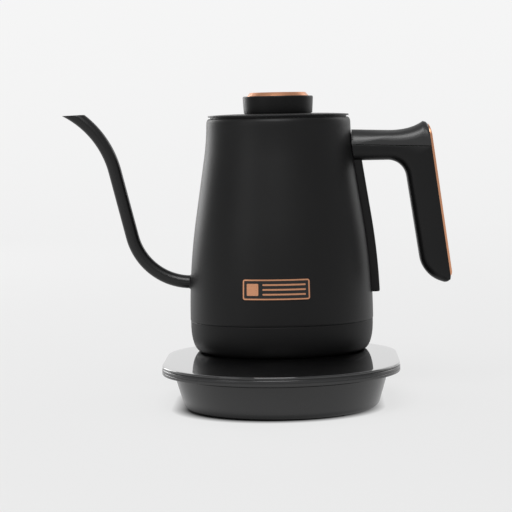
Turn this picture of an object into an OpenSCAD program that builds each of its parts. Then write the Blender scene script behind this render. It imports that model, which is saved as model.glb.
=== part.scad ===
// Electric gooseneck kettle on its powered base station.
// Lengths are millimetres, +Z is up, the spout points to -X, the handle to +X and the front to -Y.
// The origin is the middle of the footprint, on the table.

/* [Base station] */
// Height of the base station, from the table to the panel that the kettle stands on
base_h = 32; // [30:1:44]
// Radius of the round rear and front ends of the base
base_end_r = 83.5; // [82:0.5:100]
// Distance from the kettle's axis forward to the centre of the rear round end
base_setback = 22; // [8:1:22]
// Length of the straight sides between the two round ends
base_straight = 56; // [34:1:80]
// Thickness of the glossy top panel
panel_t = 1.7; // [1.2:0.1:4]
// Height of the shadow groove between the panel and the deck
groove_h = 0.4; // [0.3:0.1:1]
// Depth of the shadow groove
groove_d = 1.2; // [0.6:0.1:3]
// Thickness of the deck that carries the panel
deck_t = 4.4; // [3:0.1:6]
// Overhang of the deck beyond the top of the tub
tub_inset = 8.5; // [4:0.5:14]
// How far the tub's side leans in from its top to its foot
tub_taper = 7.5; // [3:0.5:12]
// Radius of the tub's rounded lower edge
tub_edge_r = 7; // [4:0.5:10]
// Wall and floor thickness of the tub
tub_wall = 2.4; // [1.8:0.1:3.5]
// Gap between the table and the underside of the tub
foot_gap = 1.5; // [1:0.5:4]
// Radius of the rubber feet
foot_r = 7; // [4:0.5:9]
// Half the distance between the left and right feet
foot_x = 40; // [30:1:46]

/* [Cord gland] */
// Radius of the gland's bore, for a round mains lead
gland_bore_r = 3.7; // [3:0.1:4.5]
// Wall thickness of the gland around its bore
gland_wall = 1.8; // [1.2:0.1:2.5]
// Thickness of each of the gland's flanges
gland_flange_t = 2; // [1.5:0.1:3]

/* [Round connector] */
// Radius of the raised hub in the middle of the base
hub_r = 19.5; // [17:0.5:22]
// Height of the hub above the panel
hub_rise = 7; // [5:0.5:9]
// Radius of the centre pin
pin_r = 2; // [1.5:0.1:2.5]
// Mean radius of the ring contact
ring_r = 9; // [8:0.5:11]
// Thickness of the ring contact
ring_t = 0.8; // [0.6:0.1:1.2]
// Running clearance between the kettle's plug and the base's socket
plug_gap = 0.4; // [0.3:0.05:0.6]
// Thickness of the plug's collar and of the socket's flange
plug_wall = 2; // [1.6:0.1:2.6]

/* [Kettle body] */
// Outer radius of the steel body at its widest, just above the seam
body_r = 67.5; // [62:0.5:72]
// Outer radius of the steel body at its rim
rim_r = 52.9; // [48:0.5:58]
// Height of the body's rim above the panel
rim_h = 171; // [160:1:190]
// Height of the seam between the skirt and the steel body
seam_h = 23.2; // [20:0.5:26]
// Length of the curve that turns the upright belly into the cone
belly_len = 72; // [50:1:80]
// Length of the curve that turns the cone upright again at the neck
neck_len = 29; // [15:1:40]
// Thickness of the steel wall
wall_t = 0.8; // [0.6:0.1:1.2]
// Width of the rolled rim
rim_w = 3.3; // [2.5:0.1:4.5]
// Height of the heater plate above the panel
floor_h = 29; // [28:0.5:34]
// Thickness of the heater plate
floor_t = 1.2; // [0.8:0.1:2]

/* [Skirt] */
// Radius of the ring on which the kettle stands
stand_r = 58.8; // [54:0.5:60]
// Wall thickness of the skirt
skirt_wall = 2.6; // [2:0.1:3.5]
// Height of the skirt's floor above the panel
skirt_rise = 3; // [2.5:0.5:4]
// Thickness of the skirt's floor
skirt_floor_t = 2.5; // [2:0.1:3]
// Step of the skirt in from the steel body, at the seam
seam_step = 0.3; // [0:0.05:0.6]

/* [Heater] */
// Mean radius of the heating element's loop
element_r = 38; // [32:0.5:40]
// Radius of the element's tube
element_tube_r = 3.5; // [2.5:0.1:4]
// Radius of the temperature probe
probe_r = 3; // [2:0.1:4]
// Height of the probe above the heater plate
probe_rise = 12; // [6:0.5:20]

/* [Gooseneck spout] */
// Outer radius of the spout's tube
spout_r = 4.85; // [4:0.05:6]
// Wall thickness of the spout's tube
spout_wall = 0.8; // [0.6:0.1:1.2]
// Height of the tube's axis above the panel where it leaves the body
spout_h = 51.2; // [46:0.1:60]
// Radius of the lower bend
bend_low_r = 44.6; // [36:0.2:48]
// Length of the straight run between the bends
spout_run = 50; // [32:0.5:54]
// Lean of the straight run away from upright, in degrees
spout_lean = 13.7; // [8:0.1:20]
// Radius of the upper bend
bend_high_r = 70.2; // [60:0.2:90]
// Slope of the tube above level at its mouth, in degrees
mouth_slope = 33.6; // [30:0.2:46]
// Tilt of the mouth's cut, its back edge up, in degrees
mouth_tilt = 2; // [0:0.5:4]

/* [Handle] */
// Width of the handle from side to side
handle_w = 22; // [18:0.5:28]
// Height of the arm's top above the panel, at the body
arm_top_h = 161.6; // [155:0.5:166]
// Depth of the cover, from the arm's top down to the parting line at the body
cover_depth = 11.1; // [9:0.1:13]
// Depth of the arm below the parting line at the body
arm_depth = 11.8; // [10:0.1:15]
// Fall of the parting line from the body to the back of the handle
arm_seam_fall = 2.2; // [0:0.1:4]
// Rise of the cover from the arm's top to its peak
peak_rise = 5.1; // [3:0.1:8]
// How far the peak is set in from the handle's back at the parting line
peak_setback = 7.5; // [6:0.1:10]
// Distance from the kettle's axis to the back of the handle, at the parting line
handle_reach = 113.4; // [110:0.1:124]
// Lean of the handle's back away from upright, in degrees
back_lean = 7.5; // [4:0.5:10]
// Depth of the grip below the elbow, without the copper strip
grip_depth = 21.2; // [18:0.1:24]
// Extra lean of the grip's inner edge, in degrees
grip_taper = 0.8; // [0:0.1:2]
// Radius of the elbow under the arm
elbow_r = 14; // [8:0.5:20]
// Height of the grip's toe above the panel
toe_h = 46.4; // [40:0.5:60]
// Radius of the grip's rounded toe
toe_r = 22.5; // [14:0.5:26]
// Rounding of the grip's long inner edges
grip_edge_r = 7; // [3:0.5:9]
// Thickness of the copper strip
inlay_t = 1.8; // [1.5:0.1:3]
// Width of the copper strip
inlay_w = 17; // [12:0.5:18]
// Height of the strip's lower end above the grip's toe
inlay_lift = 6.6; // [4:0.1:16]
// Drop of the strip's upper end below the cover's peak
inlay_drop = 1.9; // [1.5:0.1:10]

/* [Wire cover strap] */
// Width of the strap down the body's side
strap_w = 16; // [12:0.5:20]
// How far the strap stands out from the body
strap_t = 5.6; // [4:0.1:7]
// Height of the strap's lower end above the panel
strap_low_h = 42.3; // [36:0.5:60]
// Wall thickness of the strap
strap_wall = 1.8; // [1.2:0.1:2.4]

/* [Badge] */
// Width of the badge
badge_w = 48; // [30:0.5:56]
// Height of the badge
badge_h = 14.5; // [10:0.1:18]
// Height of the badge's middle above the panel
badge_mid_h = 50; // [40:0.5:70]
// Width of the copper border
badge_border = 1; // [0.6:0.1:2]
// Turn of the badge about the kettle's axis, in degrees from straight ahead
badge_turn = -2.4; // [-10:0.1:10]
// Thickness of the badge's plate
badge_t = 0.5; // [0.3:0.1:1]

/* [Lid] */
// Radius of the lid plate
lid_r = 51.4; // [46:0.5:56]
// Thickness of the lid plate at its edge
lid_t = 1.2; // [1:0.1:3]
// Rise of the lid plate's top from its edge to the knob
lid_dome = 1.5; // [0:0.1:4]
// Height of the dark gap between the rim and the lid plate
lid_gap = 0.5; // [0.4:0.1:1.2]
// Depth of the lid's cup below the rim
cup_depth = 13; // [9:0.5:18]
// Side clearance of the lid's cup in the rim
cup_gap = 0.6; // [0.5:0.1:1.5]
// Radius of the knob at its foot
knob_r = 25.2; // [20:0.5:30]
// Growth of the knob's radius towards its top
knob_flare = 0.7; // [0:0.1:2]
// Height of the knob above the lid plate
knob_h = 12.7; // [10:0.1:20]
// Radius of the copper cap at its foot
cap_r = 22.4; // [16:0.1:23]
// Height of the copper cap above the knob
cap_h = 2.7; // [2:0.1:5]
// How far the cap's side leans in from its foot to its top
cap_lean = 2; // [0:0.1:4]
// Width of the cap's raised rim
cap_rim_w = 1.6; // [1:0.1:4]
// Depth of the cap's dish
cap_dish = 1.2; // [0.5:0.1:2]

/* [Hidden] */
$fn = 96;

// Small amount by which cutters run past the faces they cut
eps = 0.01;
over = 1;
black = "#232325";
dark = "#3a3a3c";
gloss = "#101012";
steel = "#b9bbbe";
copper = "#c8794a";
brass = "#c9a24a";
board_green = "#2f6b46";
rubber = "#1b1b1c";

// Levels, from the table up
deck_top = base_h - panel_t - groove_h;
deck_low = deck_top - deck_t;
tub_floor_top = foot_gap + tub_wall;
rear_y = -base_setback;
front_y = rear_y - base_straight;

// Base fasteners
post_r = 4;
post_l = 12;
post_split = deck_low - post_l;
screw_r = 1.5;
screw_head_r = 3;
screw_head_t = 2;
screw_fit = 0.3;
slot_w = 0.7;
slot_d = 0.9;
screw_recess = 6;
screw_end_gap = 2.4;
base_screw_x = base_end_r - tub_inset - tub_taper - tub_wall - post_r - 5;
base_screw_places = [[base_screw_x, rear_y], [-base_screw_x, rear_y], [base_screw_x, front_y],
    [-base_screw_x, front_y], [0, front_y - base_screw_x]];
foot_wall_gap = 8;
foot_y = base_end_r - tub_inset - tub_taper - tub_edge_r - foot_r - foot_wall_gap;
foot_places = [[foot_x, rear_y + foot_y], [-foot_x, rear_y + foot_y],
    [foot_x, front_y - foot_y], [-foot_x, front_y - foot_y]];
foot_seat = 1;
foot_edge = 0.6;

// Gland in the tub's rear wall
gland_rise = 12.5;
gland_h = foot_gap + gland_rise;
gland_body_r = gland_bore_r + gland_wall;
gland_flange_r = gland_body_r + 2;
gland_boss_r = gland_flange_r + 1.5;
gland_face_y = rear_y + base_end_r - tub_inset - 2;
gland_boss_l = 9.5;

// Connector
hub_hole_r = hub_r + 0.5;
socket_flange_r = hub_r + 7.5;
socket_flange_t = 2.6;
hub_top = base_h + hub_rise;
hub_step = 3;
hub_edge = 1;
contact_t = 0.8;
contact_drop = 2;
pin_bore_r = pin_r + plug_gap;
slot_in_r = ring_r - ring_t / 2 - plug_gap;
slot_out_r = ring_r + ring_t / 2 + plug_gap;
socket_depth = 14;
socket_low = hub_top - socket_depth - 4;
socket_screw_r = (hub_hole_r + socket_flange_r) / 2;
socket_screw_turns = [30, 150, 270];
socket_screw_bite = 2.6;
plug_in_r = hub_r + plug_gap;
plug_out_r = plug_in_r + plug_wall;
plug_roof = base_h + hub_rise + plug_wall;
plug_body_h = 9;
plug_top = plug_roof + plug_body_h;
plug_flange_r = plug_out_r + 4.5;
plug_low = base_h + 1.5;
contact_low = hub_top - socket_depth + 1.5;
contact_seat = 1.5;
plug_float = 0.6;
plug_edge = 2;
pin_edge = 0.8;
ring_drop = 1;

// Controls under the panel, in front of the kettle
control_y = -(body_r + base_end_r - front_y) / 2;
control_w = 84;
control_d = 22;
board_t = 1.6;
control_top = deck_low - 2;
display_gap = 0.5;
display_w = 40;
display_d = 14;
touch_r = 3;
touch_gap = 0.6;
touch_x = [-32, -24, 24, 32];
board_post_r = 3;
board_screw_bite = 3;
control_post_x = control_w / 2 - 3;
power_w = 96;
power_d = 46;
power_y = front_y - power_d / 4;
power_low = tub_floor_top + 4;
component_h = 7;
power_posts = [for (sx = [-1, 1]) for (sy = [-1, 1])
    [sx * (power_w / 2 - 4), power_y + sy * (power_d / 2 - 4)]];

// Body profile: an upright belly, a curve into a cone, and a curve back upright at the rim
belly_from = seam_h + 2.8;
belly_to = belly_from + belly_len;
neck_from = rim_h - neck_len;
cone_slope = (body_r - rim_r) / (belly_len / 2 + neck_from - belly_to + neck_len / 2);
profile_steps = 28;

// Body radius at height h above the panel
function body_r_at(h) =
    h < belly_from ? body_r
    : h < belly_to ? body_r - cone_slope * pow(h - belly_from, 2) / (2 * belly_len)
    : h < neck_from ? body_r - cone_slope * (belly_len / 2 + h - belly_to)
    : h < rim_h ? body_r - cone_slope * (belly_len / 2 + neck_from - belly_to + h - neck_from
        - pow(h - neck_from, 2) / (2 * neck_len))
    : rim_r;

// Heights that divide the body's profile evenly from one height to another
function heights(from, to, steps = profile_steps) = [for (i = [0:steps]) from + (to - from) * i / steps];

function reversed(list) = [for (i = [len(list) - 1:-1:0]) list[i]];

// Outline of a band on the body's outside, from an inner to an outer offset, heights above the panel
function body_band(from, to, inner, outer, steps = profile_steps) = let (hs = heights(from, to, steps))
    concat([for (h = hs) [body_r_at(h) + inner, base_h + h]],
        [for (h = reversed(hs)) [body_r_at(h) + outer, base_h + h]]);

// Rim
rim_edge = 0.7;
rim_hang = 2.4;
rim_lap = 0.05;
rim_in_r = rim_r - rim_w;

// Skirt
skirt_r = body_r - seam_step;
skirt_steps = 14;
seam_chamfer = 0.25;
spigot_h = 4;
spigot_gap = 0.2;
spigot_t = 1.6;
stand_w = 4.3;
plug_hole_r = plug_out_r + plug_gap;
skirt_screw_at = 50;
skirt_screw_turns = [60, 180, 300];
stud_r = 3;
stud_pilot_r = 1.2;
stud_pilot_l = 10;
stud_tip_gap = 2;

// Heating element's opening in degrees, its pins, the cut-out under the plate and the probe
element_open = 60;
pin_turn = 5;
pin_drop = 14;
cutout_r = 9;
cutout_t = 4;
cutout_neck_r = 6;
cutout_l = 6;
probe_at = [22, -16];
probe_flange_w = 2.5;
probe_flange_t = 2;
probe_tail = 5;
probe_tip = 1;
seal_t = 1;
seal_w = 2;

// Skirt radius at height h above the panel: a quarter oval from the stand ring to the seam
function skirt_r_at(h) = stand_r + (skirt_r - stand_r)
    * pow(1 - pow(max(0, 1 - h / (seam_h - 2)), 2.3), 1 / 2.3);

// Spout path in the XZ plane, from the body outwards
spout_root_x = -(body_r_at(spout_h) - wall_t);
low_turn = 90 - spout_lean;
high_turn = 90 - spout_lean - mouth_slope;
low_centre = [spout_root_x, base_h + spout_h + bend_low_r];
run_to = low_centre + bend_low_r * [-sin(low_turn), -cos(low_turn)]
    + spout_run * [-sin(spout_lean), cos(spout_lean)];
high_centre = run_to + bend_high_r * [-cos(spout_lean), -sin(spout_lean)];
mouth_mid = high_centre + bend_high_r * [cos(spout_lean + high_turn), sin(spout_lean + high_turn)];
mouth_run = 14;
spout_overrun = 1;
mouth_off = mouth_mid - high_centre;
mouth_reach = mouth_off[1] * cos(mouth_tilt) - mouth_off[0] * sin(mouth_tilt);
mouth_tip_x = high_centre[0] - mouth_reach * sin(mouth_tilt)
    + sqrt(pow(bend_high_r - spout_r, 2) - pow(mouth_reach, 2)) * cos(mouth_tilt);
mouth_cut = 8 * spout_r;
collar_l = 1;
collar_w = 0.8;

// Handle lines, heights above the panel
arm_seam_h = arm_top_h - cover_depth;
arm_low_h = arm_seam_h - arm_depth;
peak_h = arm_top_h + peak_rise;
peak_x = handle_reach - peak_setback;
inlay_low_h = toe_h + inlay_lift;
inlay_high_h = peak_h - inlay_drop;
back_tan = tan(back_lean);
function back_x_at(h) = handle_reach + (arm_seam_h - h) * back_tan;
function shell_back_x_at(h) = back_x_at(h) - inlay_t / cos(back_lean);
inner_tan = tan(back_lean + grip_taper);
elbow_x = shell_back_x_at(arm_low_h) - grip_depth / cos(back_lean);
function inner_x_at(h) = elbow_x + (arm_low_h - h) * inner_tan;
toe_slope = 0.333;
toe_x = shell_back_x_at(toe_h);
toe_corner_h = (toe_h + toe_slope * (toe_x - elbow_x - arm_low_h * inner_tan)) / (1 - toe_slope * inner_tan);
toe_tip_r = 4;
seam_end_h = arm_seam_h - arm_seam_fall;
body_fit = 0.15;
rise_l = 24;
rise_start_drop = 1.1;
rise_level_l = 8.6;
crest_l = 2.2;
crest_drop = 0.6;
cover_end_drop = 2.5;
cover_drop = 8;
seam_share = 0;
back_share = 0;
tip_share = 0.35;
crest_share = 0.9;

// Bracket inside the arm
bracket_t = 1.6;
bracket_w = 12;
bracket_low_h = arm_low_h + 3.5;
bracket_high_h = arm_top_h - cover_drop - 1.5;
tongue_t = 2.4;
bracket_gap = 0.25;
elbow_start_x = elbow_x - elbow_r * tan(45 - (back_lean + grip_taper) / 2);
tongue_x = elbow_start_x + 4.5;
arm_wall_x = body_r_at(arm_seam_h);
handle_screw_x = [for (share = [0.4, 0.85]) arm_wall_x + share * (elbow_start_x - arm_wall_x)];
handle_screw_recess = 5;

// Strap
strap_high_h = arm_low_h - 0.6;
strap_stud_h = [for (share = [0.2, 0.8]) strap_low_h + share * (strap_high_h - strap_low_h)];
strap_stud_r = 2;
strap_stud_root = 2;
strap_stud_gap = 0.8;
inlay_corner_r = 3;

// Badge details
badge_corner_r = 1.6;
trim_t = 0.3;
stripe_w = 1.2;

// Lid levels
rim_top = base_h + rim_h;
plate_low = rim_top + lid_gap;
plate_edge = plate_low + lid_t;
plate_top = plate_edge + lid_dome;
cup_low = rim_top - cup_depth;
cup_r = rim_in_r - cup_gap;
cup_wall = 1;
cup_corner_r = 3;
cup_flange_r = rim_in_r + rim_edge + 0.8;
seal_low = cup_low + 4;
seal_h = 3;
seal_proud = 0.25;
seal_inset = 0.6;
cup_boss_r = 5;
knob_neck_r = knob_r - 0.8;
knob_neck_h = 0.3;
knob_top = plate_top + knob_h;
knob_edge_r = 1;
cap_seat = 2;
cap_bevel = 0.8;
cap_foot = 0.3;
cap_lip = 1.2;
lid_screw_r = 2;
lid_screw_bite = 9;
vent_r = 1.25;
vent_at = 38;
vent_turns = [-9, 0, 9];
cup_vent_r = 2;
cup_vent_at = 30;

// Footprint, which puts the origin in its middle
x_low = mouth_tip_x;
x_high = back_x_at(inlay_low_h);
y_low = front_y - base_end_r;
y_high = max(rear_y + base_end_r, body_r);
axis_at = [-(x_low + x_high) / 2, -(y_low + y_high) / 2, 0];

// ---------- shared shapes ----------

// Carries shapes drawn round the kettle's axis to their place in the footprint
module on_axis() {
    translate(axis_at) children();
}

function unit(v) = v / norm(v);

function wrap(a) = a > 180 ? a - 360 : a < -180 ? a + 360 : a;

// Points of the round that replaces corner b of the path a, b, c
function round_at(a, b, c, r, n) =
    r == 0 ? [b]
    : let (
        u = unit(a - b),
        v = unit(c - b),
        half = acos(u * v) / 2,
        reach = r / tan(half),
        o = b + unit(u + v) * r / sin(half),
        p = b + u * reach,
        q = b + v * reach,
        start = atan2(p[1] - o[1], p[0] - o[0]),
        sweep = wrap(atan2(q[1] - o[1], q[0] - o[0]) - start)
    ) [for (i = [0:n]) o + r * [cos(start + sweep * i / n), sin(start + sweep * i / n)]];

// Closed outline with rounded corners; a corner is [x, y, radius]
function rounded(corners, n = 6) = let (m = len(corners))
    [for (i = [0:m - 1]) let (
        a = corners[(i + m - 1) % m],
        b = corners[i],
        c = corners[(i + 1) % m]
    ) each round_at([a[0], a[1]], [b[0], b[1]], [c[0], c[1]], b[2], n)];

// Oval of the base, drawn at a given radius of its round ends
module oval(r) {
    translate([0, rear_y]) circle(r);
    translate([0, front_y]) circle(r);
    translate([-r, front_y]) square([2 * r, base_straight]);
}

// Oval plate from one height to another
module oval_plate(r, low, high) {
    translate([0, 0, low]) linear_extrude(high - low) oval(r);
}

// Profile carried round the base's oval; the profile starts on the axis
module oval_sweep(profile) {
    translate([0, rear_y, 0]) rotate_extrude(angle = 180) polygon(profile);
    translate([0, front_y, 0]) rotate([0, 0, 180]) rotate_extrude(angle = 180) polygon(profile);
    translate([0, rear_y, 0]) rotate([90, 0, 0]) linear_extrude(base_straight) {
        polygon(profile);
        mirror([1, 0]) polygon(profile);
    }
}

// Upright cylinder from one height to another
module pole(r, low, high) {
    translate([0, 0, low]) cylinder(r = r, h = high - low);
}

// Upright tube from one height to another
module ring(outer, inner, low, high) {
    difference() {
        pole(outer, low, high);
        pole(inner, low - over, high + over);
    }
}

// Screw pointing up, with the underside of its head at a given height
module screw(head_seat, tip, r = screw_r) {
    pole(r, head_seat - eps, tip);
    difference() {
        pole(screw_head_r, head_seat - screw_head_t, head_seat);
        translate([0, 0, head_seat - screw_head_t - eps]) for (turn = [0, 90]) rotate(turn)
            translate([-screw_head_r * 0.6, -slot_w / 2, 0]) cube([screw_head_r * 1.2, slot_w, slot_d]);
    }
}

// Rounded rectangle about the origin
module rounded_rect(w, h, r) {
    translate([-w / 2 + r, -h / 2]) square([w - 2 * r, h]);
    translate([-w / 2, -h / 2 + r]) square([w, h - 2 * r]);
    for (sx = [-1, 1]) for (sy = [-1, 1]) translate([sx * (w / 2 - r), sy * (h / 2 - r)]) circle(r);
}

// ---------- base station ----------

module base_top_panel() {
    edge = 0.8;
    color(gloss) on_axis() difference() {
        union() {
            oval_plate(base_end_r - groove_d, deck_top, deck_top + groove_h);
            oval_sweep([[0, deck_top + groove_h], [base_end_r, deck_top + groove_h],
                [base_end_r, base_h - edge], [base_end_r - edge, base_h], [0, base_h]]);
        }
        pole(hub_hole_r, deck_top - over, base_h + over);
    }
}

module base_deck() {
    lip_gap = 2;
    lip_r = base_end_r - tub_inset - tub_wall - lip_gap;
    lip_t = 1.6;
    lip_h = deck_low - gland_h - gland_boss_r - lip_t / 4;
    // fine line round the middle of the deck's edge
    deck_line_h = 0.4;
    deck_line_d = 0.4;
    line_low = (deck_low + deck_top - deck_line_h) / 2;
    color(black) on_axis() difference() {
        union() {
            oval_plate(base_end_r, deck_low, line_low);
            oval_plate(base_end_r - deck_line_d, line_low, line_low + deck_line_h);
            oval_plate(base_end_r, line_low + deck_line_h, deck_top);
            difference() {
                oval_plate(lip_r, deck_low - lip_h, deck_low);
                oval_plate(lip_r - lip_t, deck_low - lip_h - over, deck_low + eps);
            }
            for (p = base_screw_places) translate(p) pole(post_r, post_split, deck_low);
            for (x = [-control_post_x, control_post_x]) translate([x, control_y])
                pole(board_post_r, control_top, deck_low);
        }
        pole(hub_hole_r, deck_low - over, deck_top + over);
        for (p = base_screw_places) translate(p) pole(screw_r, post_split - over, deck_low);
        for (turn = socket_screw_turns) rotate(turn) translate([socket_screw_r, 0])
            pole(screw_r, deck_low - over, deck_low + socket_screw_bite);
        translate([-display_w / 2, control_y - display_d / 2, deck_low - over])
            cube([display_w, display_d, deck_t + 2 * over]);
        for (x = touch_x) translate([x, control_y])
            pole(touch_r + touch_gap, deck_low - over, deck_top + over);
    }
}

function tub_outline(inset, floor_h, top_h, edge_r) = rounded([[0, floor_h, 0],
    [base_end_r - tub_inset - tub_taper - inset, floor_h, edge_r],
    [base_end_r - tub_inset - inset, top_h, 0], [0, top_h, 0]]);

module base_tub() {
    color(dark) on_axis() difference() {
        union() {
            difference() {
                oval_sweep(tub_outline(0, foot_gap, deck_low, tub_edge_r));
                oval_sweep(tub_outline(tub_wall, tub_floor_top, deck_low + eps, tub_edge_r - tub_wall));
            }
            for (p = base_screw_places) translate(p) pole(post_r + 1, tub_floor_top - eps, post_split);
            for (p = power_posts) translate(p) pole(board_post_r, tub_floor_top - eps, power_low);
            translate([0, gland_face_y, gland_h]) rotate([90, 0, 0])
                cylinder(r = gland_boss_r, h = gland_boss_l);
        }
        for (p = base_screw_places) translate(p) {
            pole(screw_r + screw_fit, foot_gap - over, post_split + over);
            pole(screw_head_r + screw_fit, foot_gap - over, foot_gap + screw_recess);
        }
        for (p = power_posts) translate(p) pole(screw_r, power_low - board_screw_bite, power_low + over);
        for (p = foot_places) translate(p) pole(foot_r, foot_gap - over, foot_gap + foot_seat);
        translate([0, gland_face_y + over, gland_h]) rotate([90, 0, 0])
            cylinder(r = gland_body_r, h = gland_boss_l + 2 * over);
        // flat seat for the gland's outer flange
        translate([0, gland_face_y, gland_h]) rotate([-90, 0, 0])
            cylinder(r = gland_flange_r + screw_fit, h = 3 * gland_flange_t);
    }
}

module base_feet() {
    color(rubber) on_axis() for (p = foot_places) translate([p[0], p[1], 0]) rotate_extrude()
        polygon([[0, 0], [foot_r - foot_edge, 0], [foot_r, foot_edge], [foot_r, foot_gap + foot_seat],
            [0, foot_gap + foot_seat]]);
}

module base_socket() {
    neck_r = hub_r - hub_step;
    color(black) on_axis() difference() {
        rotate_extrude() polygon([[0, socket_low], [neck_r, socket_low], [neck_r, deck_low - socket_flange_t],
            [socket_flange_r, deck_low - socket_flange_t], [socket_flange_r, deck_low], [hub_r, deck_low],
            [hub_r, hub_top - hub_edge], [hub_r - hub_edge, hub_top], [0, hub_top]]);
        pole(pin_bore_r + contact_t, hub_top - socket_depth, hub_top + over);
        ring(slot_out_r + contact_t, slot_in_r, hub_top - socket_depth, hub_top + over);
        for (turn = socket_screw_turns) rotate(turn) translate([socket_screw_r, 0])
            pole(screw_r, socket_low, deck_low + over);
    }
}

module socket_contacts() {
    color(brass) on_axis() {
        ring(pin_bore_r + contact_t, pin_bore_r, hub_top - socket_depth, hub_top - contact_drop);
        ring(slot_out_r + contact_t, slot_out_r, hub_top - socket_depth, hub_top - contact_drop);
    }
}

module socket_screws() {
    color(steel) on_axis() for (turn = socket_screw_turns) rotate(turn) translate([socket_screw_r, 0])
        screw(deck_low - socket_flange_t, deck_low + socket_screw_bite);
}

// Components on a board, each [left, front, width, depth, height] as shares of the board's own sizes
module blocks(w, d, list) {
    for (b = list) translate([b[0] * w, b[1] * d, board_t - eps])
        cube([b[2] * w, b[3] * d, b[4] * component_h + eps]);
}

module control_board() {
    color(board_green) on_axis() translate([-control_w / 2, control_y - control_d / 2, control_top])
        mirror([0, 0, 1]) {
            cube([control_w, control_d, board_t]);
            blocks(control_w, control_d, [[0.4, 0.25, 0.12, 0.45, 0.2], [0.62, 0.3, 0.2, 0.3, 0.5]]);
        }
}

module display_module() {
    w = display_w - 2 * display_gap;
    d = display_d - 2 * display_gap;
    color(gloss) on_axis() translate([-w / 2, control_y - d / 2, control_top])
        cube([w, d, deck_top - control_top]);
}

module touch_pads() {
    color(steel) on_axis() for (x = touch_x) translate([x, control_y]) pole(touch_r, control_top, deck_top);
}

module power_board() {
    top = power_low + board_t;
    color(board_green) on_axis() difference() {
        translate([-power_w / 2, power_y - power_d / 2, power_low]) union() {
            cube([power_w, power_d, board_t]);
            blocks(power_w, power_d, [[0.1, 0.22, 0.2, 0.35, 1], [0.36, 0.3, 0.2, 0.33, 0.7],
                [0.65, 0.26, 0.22, 0.2, 0.4]]);
            translate([0.72 * power_w, 0.72 * power_d, 0])
                cylinder(r = 0.1 * power_d, h = board_t + component_h);
        }
        for (p = power_posts) translate(p) pole(screw_r, power_low - over, top + over);
    }
}

module board_screws() {
    top = power_low + board_t;
    color(steel) on_axis() for (p = power_posts) translate([p[0], p[1], top]) mirror([0, 0, 1])
        screw(0, board_t + board_screw_bite);
}

module base_screws() {
    color(steel) on_axis() for (p = base_screw_places) translate(p)
        screw(foot_gap + screw_recess, deck_low - screw_end_gap);
}

module cord_gland() {
    l = gland_boss_l + 2 * gland_flange_t;
    color(rubber) on_axis() translate([0, gland_face_y + gland_flange_t, gland_h]) rotate([90, 0, 0])
        difference() {
            union() {
                cylinder(r = gland_flange_r, h = gland_flange_t);
                cylinder(r = gland_body_r, h = l);
                translate([0, 0, l - gland_flange_t]) cylinder(r = gland_flange_r, h = gland_flange_t);
            }
            translate([0, 0, -over]) cylinder(r = gland_bore_r, h = l + 2 * over);
        }
}

// ---------- kettle's plug ----------

module kettle_plug() {
    flange_low = base_h + skirt_rise + skirt_floor_t + plug_float;
    color(black) on_axis() difference() {
        rotate_extrude() polygon([[0, plug_roof], [plug_in_r, plug_roof], [plug_in_r, plug_low],
            [plug_out_r, plug_low], [plug_out_r, flange_low], [plug_flange_r, flange_low],
            [plug_flange_r, flange_low + plug_wall], [plug_out_r, flange_low + plug_wall],
            [plug_out_r, plug_top - plug_edge], [plug_out_r - plug_edge, plug_top], [0, plug_top]]);
        pole(pin_r, plug_roof - over, plug_roof + contact_seat);
        ring(ring_r + ring_t / 2, ring_r - ring_t / 2, plug_roof - over, plug_roof + contact_seat);
    }
}

module plug_contacts() {
    color(brass) on_axis() {
        rotate_extrude() polygon([[0, contact_low], [pin_r - pin_edge, contact_low],
            [pin_r, contact_low + pin_edge], [pin_r, plug_roof + contact_seat],
            [0, plug_roof + contact_seat]]);
        ring(ring_r + ring_t / 2, ring_r - ring_t / 2, contact_low + ring_drop, plug_roof + contact_seat);
    }
}

// ---------- kettle ----------

module skirt() {
    floor_low = base_h + skirt_rise;
    floor_top = floor_low + skirt_floor_t;
    curve = heights(0, seam_h - seam_chamfer, skirt_steps);
    inner_from = skirt_rise + skirt_floor_t;
    spigot_r = body_r - wall_t - spigot_gap;
    color(black) on_axis() difference() {
        rotate_extrude() polygon(concat(
            [[plug_hole_r, floor_low], [stand_r - stand_w, floor_low], [stand_r - stand_w, base_h]],
            [for (h = curve) [skirt_r_at(h), base_h + h]],
            [[skirt_r - seam_chamfer, base_h + seam_h], [spigot_r, base_h + seam_h],
                [spigot_r, base_h + seam_h + spigot_h], [spigot_r - spigot_t, base_h + seam_h + spigot_h]],
            [for (h = reversed(heights(inner_from, seam_h - 1, 8)))
                [min(skirt_r_at(h) - skirt_wall, spigot_r - spigot_t), base_h + h]],
            [[plug_hole_r, floor_top]]));
        for (turn = skirt_screw_turns) rotate(turn) translate([skirt_screw_at, 0])
            pole(screw_r + screw_fit, base_h, floor_top + over);
    }
}

module skirt_screws() {
    floor_low = base_h + skirt_rise;
    color(steel) on_axis() for (turn = skirt_screw_turns) rotate(turn) translate([skirt_screw_at, 0])
        screw(floor_low, floor_low + skirt_floor_t + stud_pilot_l - stud_tip_gap, stud_pilot_r);
}

// Inside of the steel wall, from one height to another
module cavity(from, to) {
    rotate_extrude() polygon(concat([[0, base_h + from]],
        [for (h = heights(from, to)) [body_r_at(h) - wall_t, base_h + h]], [[0, base_h + to]]));
}

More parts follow.
